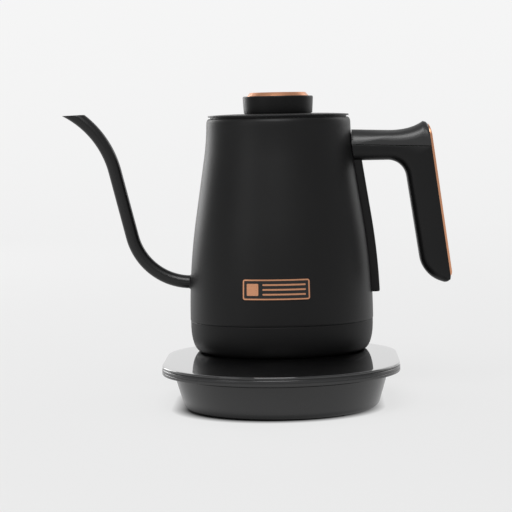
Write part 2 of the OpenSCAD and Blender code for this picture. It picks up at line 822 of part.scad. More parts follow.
module body_shell() {
    inner_r = rim_r - wall_t;
    wall = heights(seam_h, rim_h - rim_hang);
    color(black) on_axis() difference() {
        rotate_extrude() polygon(concat(
            [for (h = wall) [body_r_at(h), base_h + h]],
            [[rim_r, rim_top - rim_edge], [rim_r - rim_edge * 0.3, rim_top - rim_edge * 0.3],
                [rim_r - rim_edge, rim_top], [rim_in_r + rim_edge, rim_top],
                [rim_in_r + rim_edge * 0.3, rim_top - rim_edge * 0.3], [rim_in_r, rim_top - rim_edge],
                [rim_in_r, rim_top - rim_hang + rim_edge], [rim_in_r + rim_edge, rim_top - rim_hang],
                [inner_r - rim_lap, rim_top - rim_hang]],
            [for (h = reversed(heights(seam_h, rim_h - rim_hang - 1))) [body_r_at(h) - wall_t, base_h + h]]));
        translate([0, 0, base_h + spout_h]) rotate([0, -90, 0]) cylinder(r = spout_r, h = 2 * body_r);
    }
}

module heater_plate() {
    color(steel) on_axis() difference() {
        union() {
            cavity(floor_h, floor_h + floor_t);
            for (turn = skirt_screw_turns) rotate(turn) translate([skirt_screw_at, 0])
                pole(stud_r, base_h + skirt_rise + skirt_floor_t, base_h + floor_h + eps);
        }
        for (turn = skirt_screw_turns) rotate(turn) translate([skirt_screw_at, 0])
            pole(stud_pilot_r, base_h, base_h + skirt_rise + skirt_floor_t + stud_pilot_l);
        translate(probe_at) pole(probe_r, base_h, base_h + floor_h + floor_t + over);
    }
}

module heating_element() {
    mid = base_h + floor_h - element_tube_r;
    color(steel) on_axis() {
        rotate(element_open / 2) rotate_extrude(angle = 360 - element_open) translate([element_r, mid]) {
            circle(element_tube_r);
            translate([-element_tube_r, 0]) square([2 * element_tube_r, element_tube_r]);
        }
        for (s = [-1, 1]) rotate(s * (element_open / 2 + pin_turn)) translate([element_r, 0])
            pole(element_tube_r * 0.6, mid - pin_drop, mid);
    }
}

module thermal_cutout() {
    floor_low = base_h + floor_h;
    color(dark) on_axis() {
        pole(cutout_r, floor_low - cutout_t, floor_low);
        pole(cutout_neck_r, floor_low - cutout_l, floor_low - cutout_t + eps);
    }
}

module temperature_probe() {
    flange_top = base_h + floor_h - seal_t;
    flange_low = flange_top - probe_flange_t;
    tip = base_h + floor_h + floor_t + probe_rise;
    flange_r = probe_r + probe_flange_w;
    color(steel) on_axis() translate(probe_at) rotate_extrude() polygon([[0, flange_low - probe_tail],
        [probe_r, flange_low - probe_tail], [probe_r, flange_low], [flange_r, flange_low],
        [flange_r, flange_top], [probe_r, flange_top], [probe_r, tip - probe_tip],
        [probe_r - probe_tip, tip], [0, tip]]);
}

module probe_seal() {
    color(rubber) on_axis() translate(probe_at)
        ring(probe_r + seal_w, probe_r, base_h + floor_h - seal_t, base_h + floor_h);
}

// Solid bar along the spout's path, its foot drawn back into the kettle by a given angle.
// It is drawn flat about the lower bend's centre, where the run between the bends is upright.
module spout_bar(r, back = 0) {
    translate([low_centre[0], 0, low_centre[1]]) rotate([90, 0, 0]) rotate(-90 - low_turn) {
        rotate_extrude(angle = low_turn + back) translate([bend_low_r, 0]) circle(r);
        translate([bend_low_r, 0, 0]) rotate([90, 0, 0]) cylinder(r = r, h = spout_run);
        translate([bend_low_r + bend_high_r, -spout_run, 0]) rotate(180)
            rotate_extrude(angle = high_turn + mouth_run) translate([bend_high_r, 0]) circle(r);
    }
}

module spout_tube() {
    color(black) on_axis() difference() {
        spout_bar(spout_r);
        spout_bar(spout_r - spout_wall, spout_overrun);
        // level cut that leaves the pointed mouth
        translate([mouth_mid[0], 0, mouth_mid[1]]) rotate([0, -mouth_tilt, 0])
            translate([-mouth_cut, -mouth_cut / 2, 0]) cube([2 * mouth_cut, mouth_cut, mouth_cut]);
    }
}

// Ring of weld where the tube leaves the body
module spout_collar() {
    from = body_r_at(spout_h - spout_r - collar_w);
    color(black) on_axis() translate([-from, 0, base_h + spout_h]) rotate([0, -90, 0]) difference() {
        cylinder(r1 = spout_r + collar_w, r2 = spout_r + collar_w * 0.5, h = collar_l);
        translate([0, 0, -over]) cylinder(r = spout_r, h = collar_l + 2 * over);
    }
}

// ---------- handle ----------

// Moulding stacked from copies of one side outline at steps across Y. Its two edges run from the body
// outwards and have as many points as each other. A point is [x, height, share of the edge rounding],
// and the first point of each edge follows the body's wall.
function layer(edge, y, depth, drop) = let (m = len(edge))
    [for (i = [0:m - 1]) let (
        a = edge[max(i - 1, 0)],
        b = edge[min(i + 1, m - 1)],
        t = unit([b[0] - a[0], b[1] - a[1]]),
        inward = drop ? [0, -1] : [-t[1], t[0]],
        q = [edge[i][0], edge[i][1]] + inward * depth * edge[i][2],
        x = i == 0 ? sqrt(pow(body_r_at(q[1]) + body_fit, 2) - y * y) : q[0]
    ) [x, y, base_h + q[1]]];

module stacked(under, upper, width, round_y, round_depth, drop = false, steps = 6) {
    half = width / 2;
    angles = [for (i = [0:steps]) 90 * i / steps];
    places = concat([for (a = reversed(angles)) [round_y * (1 - sin(a)) - half, round_depth * (1 - cos(a))]],
        [for (a = angles) [half - round_y * (1 - sin(a)), round_depth * (1 - cos(a))]]);
    rows = [for (p = places)
        concat(layer(under, p[0], p[1], drop), reversed(layer(upper, p[0], p[1], drop)))];
    m = len(rows[0]);
    last = (len(rows) - 1) * m;
    walls = [for (k = [0:len(rows) - 2]) for (i = [0:m - 1]) let (
        a = k * m + i,
        b = k * m + (i + 1) % m
    ) each [[a, b + m, b], [a, a + m, b + m]]];
    ends = [for (i = [0:m / 2 - 2]) let (j = m - 1 - i) each [
        [i, i + 1, j], [i + 1, j - 1, j],
        [last + i, last + j, last + i + 1], [last + i + 1, last + j, last + j - 1]
    ]];
    polyhedron(points = [for (r = rows) each r], faces = concat(walls, ends));
}

function with_share(points, share) = [for (p = points) [p[0], p[1], share]];

// Points that divide a straight line evenly, from its start up to but not including its end
function along(from, to, n) = [for (i = [0:n - 1]) from + (to - from) * i / n];

// Grip, inner edge: arm's underside, elbow, inner side, toe and tip
inner_corner = [inner_x_at(toe_corner_h), toe_corner_h];
toe_corner = [toe_x, toe_h];
seam_corner = [shell_back_x_at(seam_end_h), seam_end_h];
tip_round = round_at(inner_corner, toe_corner, seam_corner, toe_tip_r, 5);
grip_under = concat(
    [[0, arm_low_h, 1]],
    with_share(round_at([0, arm_low_h], [elbow_x, arm_low_h], inner_corner, elbow_r, 8), 1),
    with_share(round_at([elbow_x, arm_low_h], inner_corner, toe_corner, toe_r, 9), 1),
    with_share([for (i = [0:4]) tip_round[i]], tip_share));

// Grip, outer edge: parting line and back
grip_upper = concat(
    with_share(along([body_r_at(arm_seam_h), arm_seam_h], seam_corner, 5), seam_share),
    [[seam_corner[0], seam_corner[1], seam_share]],
    with_share(reversed(along(tip_round[5], seam_corner, len(grip_under) - 6)), back_share));

// Curve of the cover's top from the level arm up to the peak
function rise(t) = let (
    a = [peak_x - rise_l, arm_top_h - rise_start_drop],
    b = [peak_x - rise_level_l, arm_top_h - rise_start_drop],
    c = [peak_x, peak_h]
) a * pow(1 - t, 2) + b * 2 * t * (1 - t) + c * pow(t, 2);

// Cover, outer edge: level arm, rise and peak
cover_upper = concat(
    [[0, arm_top_h, 1]],
    with_share([for (i = [0:8]) rise(i / 8)], 1),
    [[peak_x + crest_l, peak_h - crest_drop, 1],
        [shell_back_x_at(peak_h - cover_end_drop), peak_h - cover_end_drop, crest_share]]);

// Cover, inner edge: the parting line
cover_under = concat(
    with_share(along([body_r_at(arm_seam_h), arm_seam_h], seam_corner, len(cover_upper) - 1), 0),
    [[seam_corner[0], seam_corner[1], 0]]);

module handle_grip() {
    color(black) on_axis() difference() {
        stacked(grip_under, grip_upper, handle_w, grip_edge_r, grip_edge_r);
        bracket_pocket();
        for (x = handle_screw_x) translate([x, 0]) {
            pole(screw_r + screw_fit, base_h + arm_low_h - over, base_h + arm_seam_h + over);
            pole(screw_head_r + screw_fit, base_h + arm_low_h - over,
                base_h + arm_low_h + handle_screw_recess);
        }
    }
}

module handle_top_cover() {
    color(black) on_axis() difference() {
        stacked(cover_under, cover_upper, handle_w, handle_w / 2, cover_drop, drop = true, steps = 8);
        bracket_pocket();
    }
}

// Room for the bracket in the arm
module bracket_pocket() {
    w = bracket_w + 2 * bracket_gap;
    from = arm_wall_x - bracket_w / 3;
    translate([from, -w / 2, base_h + bracket_low_h - bracket_gap])
        cube([body_r_at(bracket_low_h) + bracket_t + bracket_gap - from, w,
            bracket_high_h - bracket_low_h + 2 * bracket_gap]);
    translate([from, -w / 2, base_h + arm_seam_h - tongue_t / 2])
        cube([tongue_x + bracket_gap - from, w, tongue_t * 1.5 + bracket_gap]);
}

module handle_bracket() {
    color(steel) on_axis() difference() {
        union() {
            intersection() {
                rotate_extrude() polygon(body_band(bracket_low_h, bracket_high_h, 0, bracket_t, 6));
                translate([0, -bracket_w / 2, 0]) cube([2 * body_r, bracket_w, 2 * rim_top]);
            }
            difference() {
                translate([arm_wall_x, -bracket_w / 2, base_h + arm_seam_h])
                    cube([tongue_x - arm_wall_x, bracket_w, tongue_t]);
                cavity(arm_seam_h - bracket_w, arm_seam_h + bracket_w);
            }
        }
        for (x = handle_screw_x) translate([x, 0])
            pole(screw_r, base_h + arm_seam_h - over, base_h + arm_seam_h + tongue_t + over);
    }
}

module handle_screws() {
    color(steel) on_axis() for (x = handle_screw_x) translate([x, 0])
        screw(base_h + arm_low_h + handle_screw_recess, base_h + arm_seam_h + tongue_t);
}

// Copper strip along the handle's back, drawn flat and then leaned
module handle_copper_strip() {
    l = (inlay_high_h - inlay_low_h) / cos(back_lean);
    r = inlay_w / 2;
    edge = 0.5;
    color(copper) on_axis()
        translate([back_x_at(inlay_low_h), 0, base_h + inlay_low_h]) rotate([0, -back_lean, 0])
            translate([-inlay_t, 0, 0]) rotate([0, 90, 0]) {
                linear_extrude(inlay_t - edge) strip_outline(l, r, inlay_corner_r);
                translate([0, 0, inlay_t - edge - eps]) linear_extrude(edge + eps)
                    strip_outline(l, r, inlay_corner_r, edge);
            }
}

// Outline of the strip: a round top, and a foot with small corners
module strip_outline(l, r, corner, inset = 0) {
    translate([-l + r, 0]) circle(r - inset);
    translate([-l + r, -r + inset]) square([l - r - corner, 2 * (r - inset)]);
    for (s = [-1, 1]) translate([-corner, s * (r - corner)]) circle(corner - inset);
    translate([-2 * corner, -r + corner]) square([2 * corner - inset, 2 * (r - corner)]);
}

module strap() {
    stud_y = strap_w / 2 - strap_wall;
    color(black) on_axis() difference() {
        intersection() {
            rotate_extrude() polygon(body_band(strap_low_h, strap_high_h, 0, strap_t, 16));
            translate([0, -strap_w / 2, 0]) cube([2 * body_r, strap_w, 2 * rim_top]);
        }
        intersection() {
            rotate_extrude() polygon(body_band(strap_low_h + strap_wall, strap_high_h - strap_wall,
                -1, strap_t - strap_wall, 16));
            translate([0, -stud_y, 0]) cube([2 * body_r, 2 * stud_y, 2 * rim_top]);
        }
    }
}

module strap_studs() {
    color(steel) on_axis() for (h = strap_stud_h) difference() {
        translate([body_r_at(h) - strap_stud_root, 0, base_h + h]) rotate([0, 90, 0])
            cylinder(r = strap_stud_r, h = strap_stud_root + strap_t - strap_wall - strap_stud_gap);
        rotate_extrude() polygon(concat([[0, base_h + h - strap_w]],
            [for (z = heights(h - strap_w, h + strap_w, 8)) [body_r_at(z), base_h + z]],
            [[0, base_h + h + strap_w]]));
    }
}

// ---------- badge ----------

// Band on the body's outside, at the badge's height
module badge_band(inner, outer) {
    rotate_extrude() polygon(body_band(badge_mid_h - badge_h, badge_mid_h + badge_h, inner, outer, 8));
}

// Column in front of the body that cuts a flat drawing out of the band
module badge_column() {
    rotate(badge_turn) translate([0, 0, base_h + badge_mid_h]) rotate([90, 0, 0])
        linear_extrude(2 * body_r) children();
}

module badge_plate() {
    color(gloss) on_axis() intersection() {
        badge_band(0, badge_t);
        badge_column() rounded_rect(badge_w, badge_h, badge_corner_r);
    }
}

module badge_trim() {
    tile = badge_h - 6 * badge_border;
    left = -badge_w / 2 + 3 * badge_border;
    color(copper) on_axis() intersection() {
        badge_band(badge_t, badge_t + trim_t);
        badge_column() {
            difference() {
                rounded_rect(badge_w, badge_h, badge_corner_r);
                rounded_rect(badge_w - 2 * badge_border, badge_h - 2 * badge_border, badge_corner_r / 2);
            }
            translate([left, -tile / 2]) square(tile);
            for (i = [-1, 0, 1])
                translate([left + tile + 3 * badge_border, i * tile * 0.4 - stripe_w / 2])
                    square([badge_w - tile - 9 * badge_border, stripe_w]);
        }
    }
}

// ---------- lid ----------

module lid_plate() {
    edge = 0.3;
    // dome that falls from the knob's neck to the plate's edge
    dome_l = lid_r - edge - knob_neck_r;
    dome = [for (i = [0:8]) let (t = i / 8)
        [lid_r - edge - dome_l * t, plate_edge + lid_dome * (1 - pow(1 - t, 2))]];
    color(black) on_axis() difference() {
        rotate_extrude() polygon(concat([[0, plate_low], [lid_r - edge, plate_low],
            [lid_r, plate_low + edge], [lid_r, plate_edge - edge]], dome, [[0, plate_top]]));
        pole(lid_screw_r, plate_low - over, plate_top + over);
        for (turn = vent_turns) rotate(turn) translate([vent_at, 0])
            pole(vent_r, plate_low - over, plate_top + over);
    }
}

module lid_cup() {
    color(steel) on_axis() difference() {
        rotate_extrude() polygon(concat(
            rounded([[0, cup_low, 0], [cup_r, cup_low, cup_corner_r], [cup_r, seal_low, 0],
                [cup_r - seal_inset, seal_low, 0], [cup_r - seal_inset, seal_low + seal_h, 0],
                [cup_r, seal_low + seal_h, 0], [cup_r, rim_top, 0], [cup_flange_r, rim_top, 0],
                [cup_flange_r, plate_low, 0], [cup_r - cup_wall - seal_inset, plate_low, 0],
                [cup_r - cup_wall - seal_inset, cup_low + cup_wall, cup_corner_r - cup_wall],
                [cup_boss_r, cup_low + cup_wall, 0], [cup_boss_r, plate_low, 0], [0, plate_low, 0]], 4)));
        pole(lid_screw_r, cup_low - over, plate_low + over);
        for (i = [0:5]) rotate(60 * i) translate([cup_vent_at, 0])
            pole(cup_vent_r, cup_low - over, cup_low + cup_wall + over);
    }
}

module lid_seal() {
    color(rubber) on_axis() ring(cup_r + seal_proud, cup_r - seal_inset, seal_low, seal_low + seal_h);
}

module lid_knob() {
    top_r = knob_r + knob_flare;
    color(black) on_axis() difference() {
        rotate_extrude() polygon(rounded([[0, plate_top, 0], [knob_neck_r, plate_top, 0],
            [knob_neck_r, plate_top + knob_neck_h, 0], [knob_r, plate_top + knob_neck_h, knob_edge_r / 2],
            [top_r, knob_top, knob_edge_r], [cap_r - cap_lip, knob_top, 0],
            [cap_r - cap_lip, knob_top - cap_seat, 0], [0, knob_top - cap_seat, 0]], 4));
        pole(lid_screw_r, plate_top - over, plate_top + lid_screw_bite);
    }
}

module knob_cap() {
    top = knob_top + cap_h;
    top_r = cap_r - cap_lean;
    dish_r = top_r - cap_rim_w - cap_bevel;
    spigot_r = cap_r - cap_lip;
    color(copper) on_axis() rotate_extrude() polygon([[0, knob_top - cap_seat],
        [spigot_r, knob_top - cap_seat], [spigot_r, knob_top], [cap_r, knob_top],
        [cap_r, knob_top + cap_foot], [top_r, top - cap_foot],
        [top_r - cap_foot, top], [top_r - cap_rim_w, top],
        [dish_r, top - cap_dish], [0, top - cap_dish]]);
}

module lid_screw() {
    color(steel) on_axis() screw(cup_low, plate_top + lid_screw_bite, lid_screw_r);
}

// ---------- nodes ----------

base_top_panel();
base_deck();
base_tub();
base_feet();
base_socket();
socket_contacts();
socket_screws();
control_board();
display_module();
touch_pads();
power_board();
board_screws();
base_screws();
cord_gland();
kettle_plug();
plug_contacts();
skirt();
skirt_screws();
body_shell();
heater_plate();
heating_element();
thermal_cutout();
temperature_probe();
probe_seal();
spout_tube();
spout_collar();
handle_bracket();
handle_grip();
handle_top_cover();
handle_copper_strip();
handle_screws();
strap();
strap_studs();
badge_plate();
badge_trim();
lid_plate();
lid_cup();
lid_seal();
lid_knob();
knob_cap();
lid_screw();
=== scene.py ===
from math import acos, atan2, cos, pi, radians, sin, sqrt, tan

import bmesh
import bpy
from mathutils import Matrix, Vector


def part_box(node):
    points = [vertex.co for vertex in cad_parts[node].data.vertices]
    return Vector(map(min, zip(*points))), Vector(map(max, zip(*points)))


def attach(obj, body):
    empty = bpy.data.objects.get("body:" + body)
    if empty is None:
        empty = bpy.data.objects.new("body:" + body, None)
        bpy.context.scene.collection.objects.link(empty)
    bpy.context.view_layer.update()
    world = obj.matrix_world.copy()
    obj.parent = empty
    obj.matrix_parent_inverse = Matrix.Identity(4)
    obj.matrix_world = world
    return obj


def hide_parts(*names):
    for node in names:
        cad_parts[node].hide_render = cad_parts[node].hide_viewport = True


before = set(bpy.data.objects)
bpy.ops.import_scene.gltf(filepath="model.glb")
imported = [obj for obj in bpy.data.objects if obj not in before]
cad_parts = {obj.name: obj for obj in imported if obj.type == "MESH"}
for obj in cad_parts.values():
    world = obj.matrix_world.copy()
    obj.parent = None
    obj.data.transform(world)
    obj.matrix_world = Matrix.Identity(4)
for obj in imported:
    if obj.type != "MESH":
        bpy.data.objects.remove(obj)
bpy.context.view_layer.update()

# ---------- places and sizes, millimetres about the kettle's axis ----------

MM = 1000
low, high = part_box("knob_cap")
AXIS_X, AXIS_Y = (low.x + high.x) / 2, (low.y + high.y) / 2
PANEL = 32.0
BODY_R, RIM_R, RIM_H, SEAM_H = 67.5, 52.9, 171.0, 23.2
BELLY_FROM, BELLY_LEN, NECK_LEN = 26.0, 72.0, 29.0
WALL = 0.8
BASE_R, REAR_Y, FRONT_Y = 83.5, -22.0, -78.0
RIM = PANEL + RIM_H
BELLY_TO, NECK_FROM = BELLY_FROM + BELLY_LEN, RIM_H - NECK_LEN
CONE = (BODY_R - RIM_R) / (BELLY_LEN / 2 + NECK_FROM - BELLY_TO + NECK_LEN / 2)


def body_r(h):
    """Body radius at a height above the panel."""
    if h < BELLY_FROM:
        return BODY_R
    if h < BELLY_TO:
        return BODY_R - CONE * (h - BELLY_FROM) ** 2 / (2 * BELLY_LEN)
    if h < NECK_FROM:
        return BODY_R - CONE * (BELLY_LEN / 2 + h - BELLY_TO)
    past = min(h, RIM_H) - NECK_FROM
    return BODY_R - CONE * (BELLY_LEN / 2 + NECK_FROM - BELLY_TO + past - past ** 2 / (2 * NECK_LEN))


def steps(a, b, n):
    return [a + (b - a) * i / n for i in range(n + 1)]


# ---------- mesh building ----------

def build(name, points, faces, body, material, nodes, smooth=32):
    """A piece from points in millimetres about the kettle's axis."""
    me = bpy.data.meshes.new(name)
    me.from_pydata([(AXIS_X + x / MM, AXIS_Y + y / MM, z / MM) for x, y, z in points], [], faces)
    bm = bmesh.new()
    bm.from_mesh(me)
    bmesh.ops.remove_doubles(bm, verts=bm.verts, dist=1e-7)
    bmesh.ops.recalc_face_normals(bm, faces=bm.faces)
    bm.to_mesh(me)
    bm.free()
    ob = bpy.data.objects.new(name, me)
    bpy.context.scene.collection.objects.link(ob)
    me.materials.append(material)
    me.polygons.foreach_set("use_smooth", [True] * len(me.polygons))
    me.set_sharp_from_angle(angle=radians(smooth))
    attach(ob, body)
    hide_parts(*nodes)
    return ob


def ring_faces(rows, count, looped=False):
    """Faces between rows of points that each close on themselves; looped joins the last row to the first."""
    faces = []
    for i in range(rows if looped else rows - 1):
        here, there = i * count, (i + 1) % rows * count
        for k in range(count):
            n = (k + 1) % count
            faces.append((here + k, here + n, there + n, there + k))
    return faces


def end_faces(rows, count):
    """Faces over the first row and the last."""
    return [tuple(range(count)), tuple(range((rows - 1) * count, rows * count))]


def round_corner(a, b, c, r, n):
    """Points of an arc of radius r that rounds the corner at b."""
    a, b, c = Vector(a), Vector(b), Vector(c)
    if r == 0:
        return [b]
    u, v = (a - b).normalized(), (c - b).normalized()
    half = acos(max(-1, min(1, u.dot(v)))) / 2
    o = b + (u + v).normalized() * r / sin(half)
    p, q = b + u * r / tan(half), b + v * r / tan(half)
    start = atan2(p.y - o.y, p.x - o.x)
    turn = (atan2(q.y - o.y, q.x - o.x) - start + pi) % (2 * pi) - pi
    return [o + r * Vector((cos(start + turn * i / n), sin(start + turn * i / n))) for i in range(n + 1)]


def fillet(corners, n=5):
    """Closed outline with rounded corners; a corner is (x, y, radius)."""
    out = []
    for i, (x, y, r) in enumerate(corners):
        out += round_corner(corners[i - 1][:2], (x, y), corners[(i + 1) % len(corners)][:2], r, n)
    return out


def resample(path, n):
    """n + 1 points evenly along a path of points."""
    lengths = [0]
    for a, b in zip(path, path[1:]):
        lengths.append(lengths[-1] + (b - a).length)
    out, j = [], 0
    for i in range(n + 1):
        t = lengths[-1] * i / n
        while j < len(path) - 2 and lengths[j + 1] < t:
            j += 1
        span = lengths[j + 1] - lengths[j]
        out.append(path[j].lerp(path[j + 1], (t - lengths[j]) / span if span else 0))
    return out


def lathe(name, outline, body, material, nodes, around=256):
    """Closed outline of (radius, height) carried round the kettle's axis."""
    points, faces = [], []
    m = len(outline)
    on_axis = [r < 1e-6 for r, _ in outline]
    for k in range(around):
        a = 2 * pi * k / around
        points += [(p[0] * cos(a), p[0] * sin(a), p[1]) for p in outline]
    for k in range(around):
        here, there = k * m, (k + 1) % around * m
        for i in range(m):
            j = (i + 1) % m
            if on_axis[i] and on_axis[j]:
                continue
            if on_axis[i]:
                faces.append((here + i, here + j, there + j))
            elif on_axis[j]:
                faces.append((here + i, here + j, there + i))
            else:
                faces.append((here + i, here + j, there + j, there + i))
    return build(name, points, faces, body, material, nodes)


OVAL_STEPS = 96


def oval_ring(r):
    """Points of the base's oval, at the radius of its round ends."""
    turn = steps(0, pi, OVAL_STEPS)
    ring = [(cos(a) * r, REAR_Y + sin(a) * r) for a in turn]
    return ring + [(cos(pi + a) * r, FRONT_Y + sin(pi + a) * r) for a in turn]


def oval(name, outline, body, material, nodes, hole=None):
    """Outline of (radius, height) carried round the base's oval, closed over the middle or left with a round hole."""
    points = [(x, y, z) for r, z in outline for x, y in oval_ring(r)]
    rows, count = len(outline), 2 * (OVAL_STEPS + 1)
    faces = ring_faces(rows, count)
    if hole is None:
        return build(name, points, faces + end_faces(rows, count), body, material, nodes)
    rings = []
    for row in (0, rows - 1):
        start = len(points)
        rings.append(start)
        for x, y, z in points[row * count:(row + 1) * count]:
            reach = sqrt(x * x + y * y)
            points.append((x / reach * hole, y / reach * hole, z))
        for k in range(count):
            n = (k + 1) % count
            faces.append((row * count + k, row * count + n, start + n, start + k))
    for k in range(count):
        n = (k + 1) % count
        faces.append((rings[0] + k, rings[0] + n, rings[1] + n, rings[1] + k))
    return build(name, points, faces, body, material, nodes)


def loft(name, sections, body, material, nodes, smooth=40):
    """Sections with the same number of points, joined in turn and closed at both ends."""
    points = [p for s in sections for p in s]
    rows, count = len(sections), len(sections[0])
    faces = ring_faces(rows, count) + end_faces(rows, count)
    return build(name, points, faces, body, material, nodes, smooth)


# ---------- materials ----------

# nearly all of a noise texture lies between these
NOISE_LOW, NOISE_HIGH = 0.3, 0.7


def new_material(name, colour, rough, metal=0.0, spec=0.5, coat=0.0, coat_rough=0.1):
    mat = bpy.data.materials.new(name)
    mat.use_nodes = True
    shader = mat.node_tree.nodes["Principled BSDF"]
    shader.inputs["Base Color"].default_value = (*colour, 1)
    shader.inputs["Roughness"].default_value = rough
    shader.inputs["Metallic"].default_value = metal
    shader.inputs["Specular IOR Level"].default_value = spec
    shader.inputs["Coat Weight"].default_value = coat
    shader.inputs["Coat Roughness"].default_value = coat_rough
    return mat, mat.node_tree, shader


def noise(tree, scale, detail=3, stretch=(1, 1, 1), rough=0.5):
    """Noise over the piece's own coordinates; scale is in bumps a metre."""
    coord = tree.nodes.new("ShaderNodeTexCoord")
    spread = tree.nodes.new("ShaderNodeMapping")
    spread.inputs["Scale"].default_value = stretch
    texture = tree.nodes.new("ShaderNodeTexNoise")
    texture.inputs["Scale"].default_value = scale
    texture.inputs["Detail"].default_value = detail
    texture.inputs["Roughness"].default_value = rough
    tree.links.new(coord.outputs["Object"], spread.inputs["Vector"])
    tree.links.new(spread.outputs["Vector"], texture.inputs["Vector"])
    return texture.outputs["Fac"]


def spread_to(tree, source, low, high, from_low=NOISE_LOW, from_high=NOISE_HIGH):
    node = tree.nodes.new("ShaderNodeMapRange")
    node.inputs["From Min"].default_value = from_low
    node.inputs["From Max"].default_value = from_high
    node.inputs["To Min"].default_value = low
    node.inputs["To Max"].default_value = high
    tree.links.new(source, node.inputs["Value"])
    return node.outputs["Result"]


def tint(tree, source, dark, light):
    ramp = tree.nodes.new("ShaderNodeValToRGB")
    first, last = ramp.color_ramp.elements
    first.position, last.position = NOISE_LOW, NOISE_HIGH
    first.color, last.color = (*dark, 1), (*light, 1)
    tree.links.new(source, ramp.inputs["Fac"])
    return ramp.outputs["Color"]


def bump(tree, shader, source, height, strength):
    """Bump whose height is in metres."""
    node = tree.nodes.new("ShaderNodeBump")
    node.inputs["Strength"].default_value = strength
    node.inputs["Distance"].default_value = height
    tree.links.new(source, node.inputs["Height"])
    tree.links.new(node.outputs["Normal"], shader.inputs["Normal"])


def calc(tree, kind, first, second=0.0):
    """Math node on two sockets or numbers."""
    node = tree.nodes.new("ShaderNodeMath")
    node.operation = kind
    for socket, value in zip(node.inputs, (first, second)):
        if isinstance(value, (int, float)):
            socket.default_value = value
        else:
            tree.links.new(value, socket)
    return node.outputs["Value"]


def grained(name, dark, light, rough, grain, height, spec):
    """Painted or moulded surface: fine grain, faint blotches in colour and gloss."""
    mat, tree, shader = new_material(name, dark, rough[0], spec=spec)
    wide = noise(tree, 18, 4)
    fine = noise(tree, grain, 2, rough=0.6)
    tree.links.new(tint(tree, wide, dark, light), shader.inputs["Base Color"])
    tree.links.new(spread_to(tree, fine, *rough), shader.inputs["Roughness"])
    bump(tree, shader, fine, height, 0.6)
    return mat


def polished(name, dark, light, rough):
    """Gloss black under a clear coat, with faint wide blotches in colour and gloss."""
    mat, tree, shader = new_material(name, dark, rough[0], coat=1.0, coat_rough=0.02)
    wide = noise(tree, 9, 4)
    tree.links.new(tint(tree, wide, dark, light), shader.inputs["Base Color"])
    tree.links.new(spread_to(tree, wide, *rough), shader.inputs["Roughness"])
    return mat


def brushed(name, dark, light, rough, stretch, height=0.00002, grain=900):
    """Brushed or plated metal: long fine scratches along the short axis of stretch."""
    mat, tree, shader = new_material(name, dark, rough[0], metal=1.0)
    lines = noise(tree, grain, 3, stretch)
    wide = noise(tree, 25, 3)
    tree.links.new(tint(tree, wide, dark, light), shader.inputs["Base Color"])
    tree.links.new(spread_to(tree, lines, *rough), shader.inputs["Roughness"])
    bump(tree, shader, lines, height, 0.4)
    return mat


COATED = (0.0065, 0.0064, 0.0066), (0.0082, 0.0081, 0.0082)
MOULDED = (0.0052, 0.0052, 0.0053), (0.0066, 0.0066, 0.0067)
POWDER = grained("powder_coat_black", *COATED, (0.38, 0.46), 2600, 0.00003, 0.24)
SKIRT = grained("skirt_black", (0.0056, 0.0055, 0.0057), (0.007, 0.0069, 0.007), (0.46, 0.53), 2200, 0.00003, 0.22)
HANDLE = grained("handle_black", *MOULDED, (0.34, 0.40), 2400, 0.00002, 0.26)
COVER = grained("cover_black", *MOULDED, (0.36, 0.41), 2400, 0.00001, 0.7)
SPOUT = grained("spout_coat_black", *COATED, (0.26, 0.32), 2600, 0.00002, 0.4)
KNOB = grained("knob_black", (0.0035, 0.0035, 0.0035), (0.0045, 0.0045, 0.0045), (0.34, 0.42), 2400, 0.00003, 0.2)
TUB = grained("tub_grey", (0.017, 0.017, 0.0174), (0.0195, 0.0195, 0.0199), (0.19, 0.25), 1800, 0.000008, 0.62)
GLOSS = polished("panel_gloss", (0.004, 0.004, 0.0045), (0.005, 0.005, 0.0055), (0.02, 0.035))
BADGE = grained("badge_gloss", (0.006, 0.006, 0.006), (0.008, 0.008, 0.008), (0.2, 0.28), 1500, 0.00001, 0.5)
DARK_PLASTIC = grained("inner_plastic", (0.012, 0.012, 0.012), (0.016, 0.016, 0.016), (0.45, 0.55), 1500, 0.00004, 0.4)
RUBBER = grained("rubber_black", (0.012, 0.012, 0.012), (0.02, 0.02, 0.02), (0.7, 0.85), 1200, 0.00006, 0.3)
BOARD = grained("board_green", (0.01, 0.07, 0.03), (0.015, 0.1, 0.045), (0.3, 0.4), 900, 0.00002, 0.5)
COPPER = brushed("copper_satin", (0.72, 0.34, 0.19), (0.77, 0.38, 0.22), (0.27, 0.33), (1, 1, 0.2), 0.000004, 2400)
STEEL = brushed("steel_brushed", (0.48, 0.48, 0.47), (0.56, 0.56, 0.55), (0.28, 0.42), (0.04, 0.04, 1))
SCREW = brushed("screw_plated", (0.5, 0.5, 0.48), (0.6, 0.6, 0.58), (0.25, 0.35), (1, 1, 1))
BRASS = brushed("contact_brass", (0.66, 0.5, 0.22), (0.75, 0.58, 0.28), (0.2, 0.3), (1, 1, 0.1))

KEPT = {
    "base_socket": DARK_PLASTIC, "socket_contacts": BRASS, "socket_screws": SCREW, "control_board": BOARD,
    "display_module": GLOSS, "touch_pads": BRASS, "power_board": BOARD, "board_screws": SCREW,
    "base_screws": SCREW, "cord_gland": RUBBER, "kettle_plug": DARK_PLASTIC, "plug_contacts": BRASS,
    "skirt_screws": SCREW, "heater_plate": STEEL, "heating_element": STEEL, "thermal_cutout": DARK_PLASTIC,
    "temperature_probe": STEEL, "probe_seal": RUBBER, "handle_bracket": STEEL, "handle_screws": SCREW,
    "strap_studs": SCREW, "lid_screw": SCREW,
}
for node, material in KEPT.items():
    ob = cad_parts[node]
    ob.data.materials.clear()
    ob.data.materials.append(material)

# ---------- base station ----------

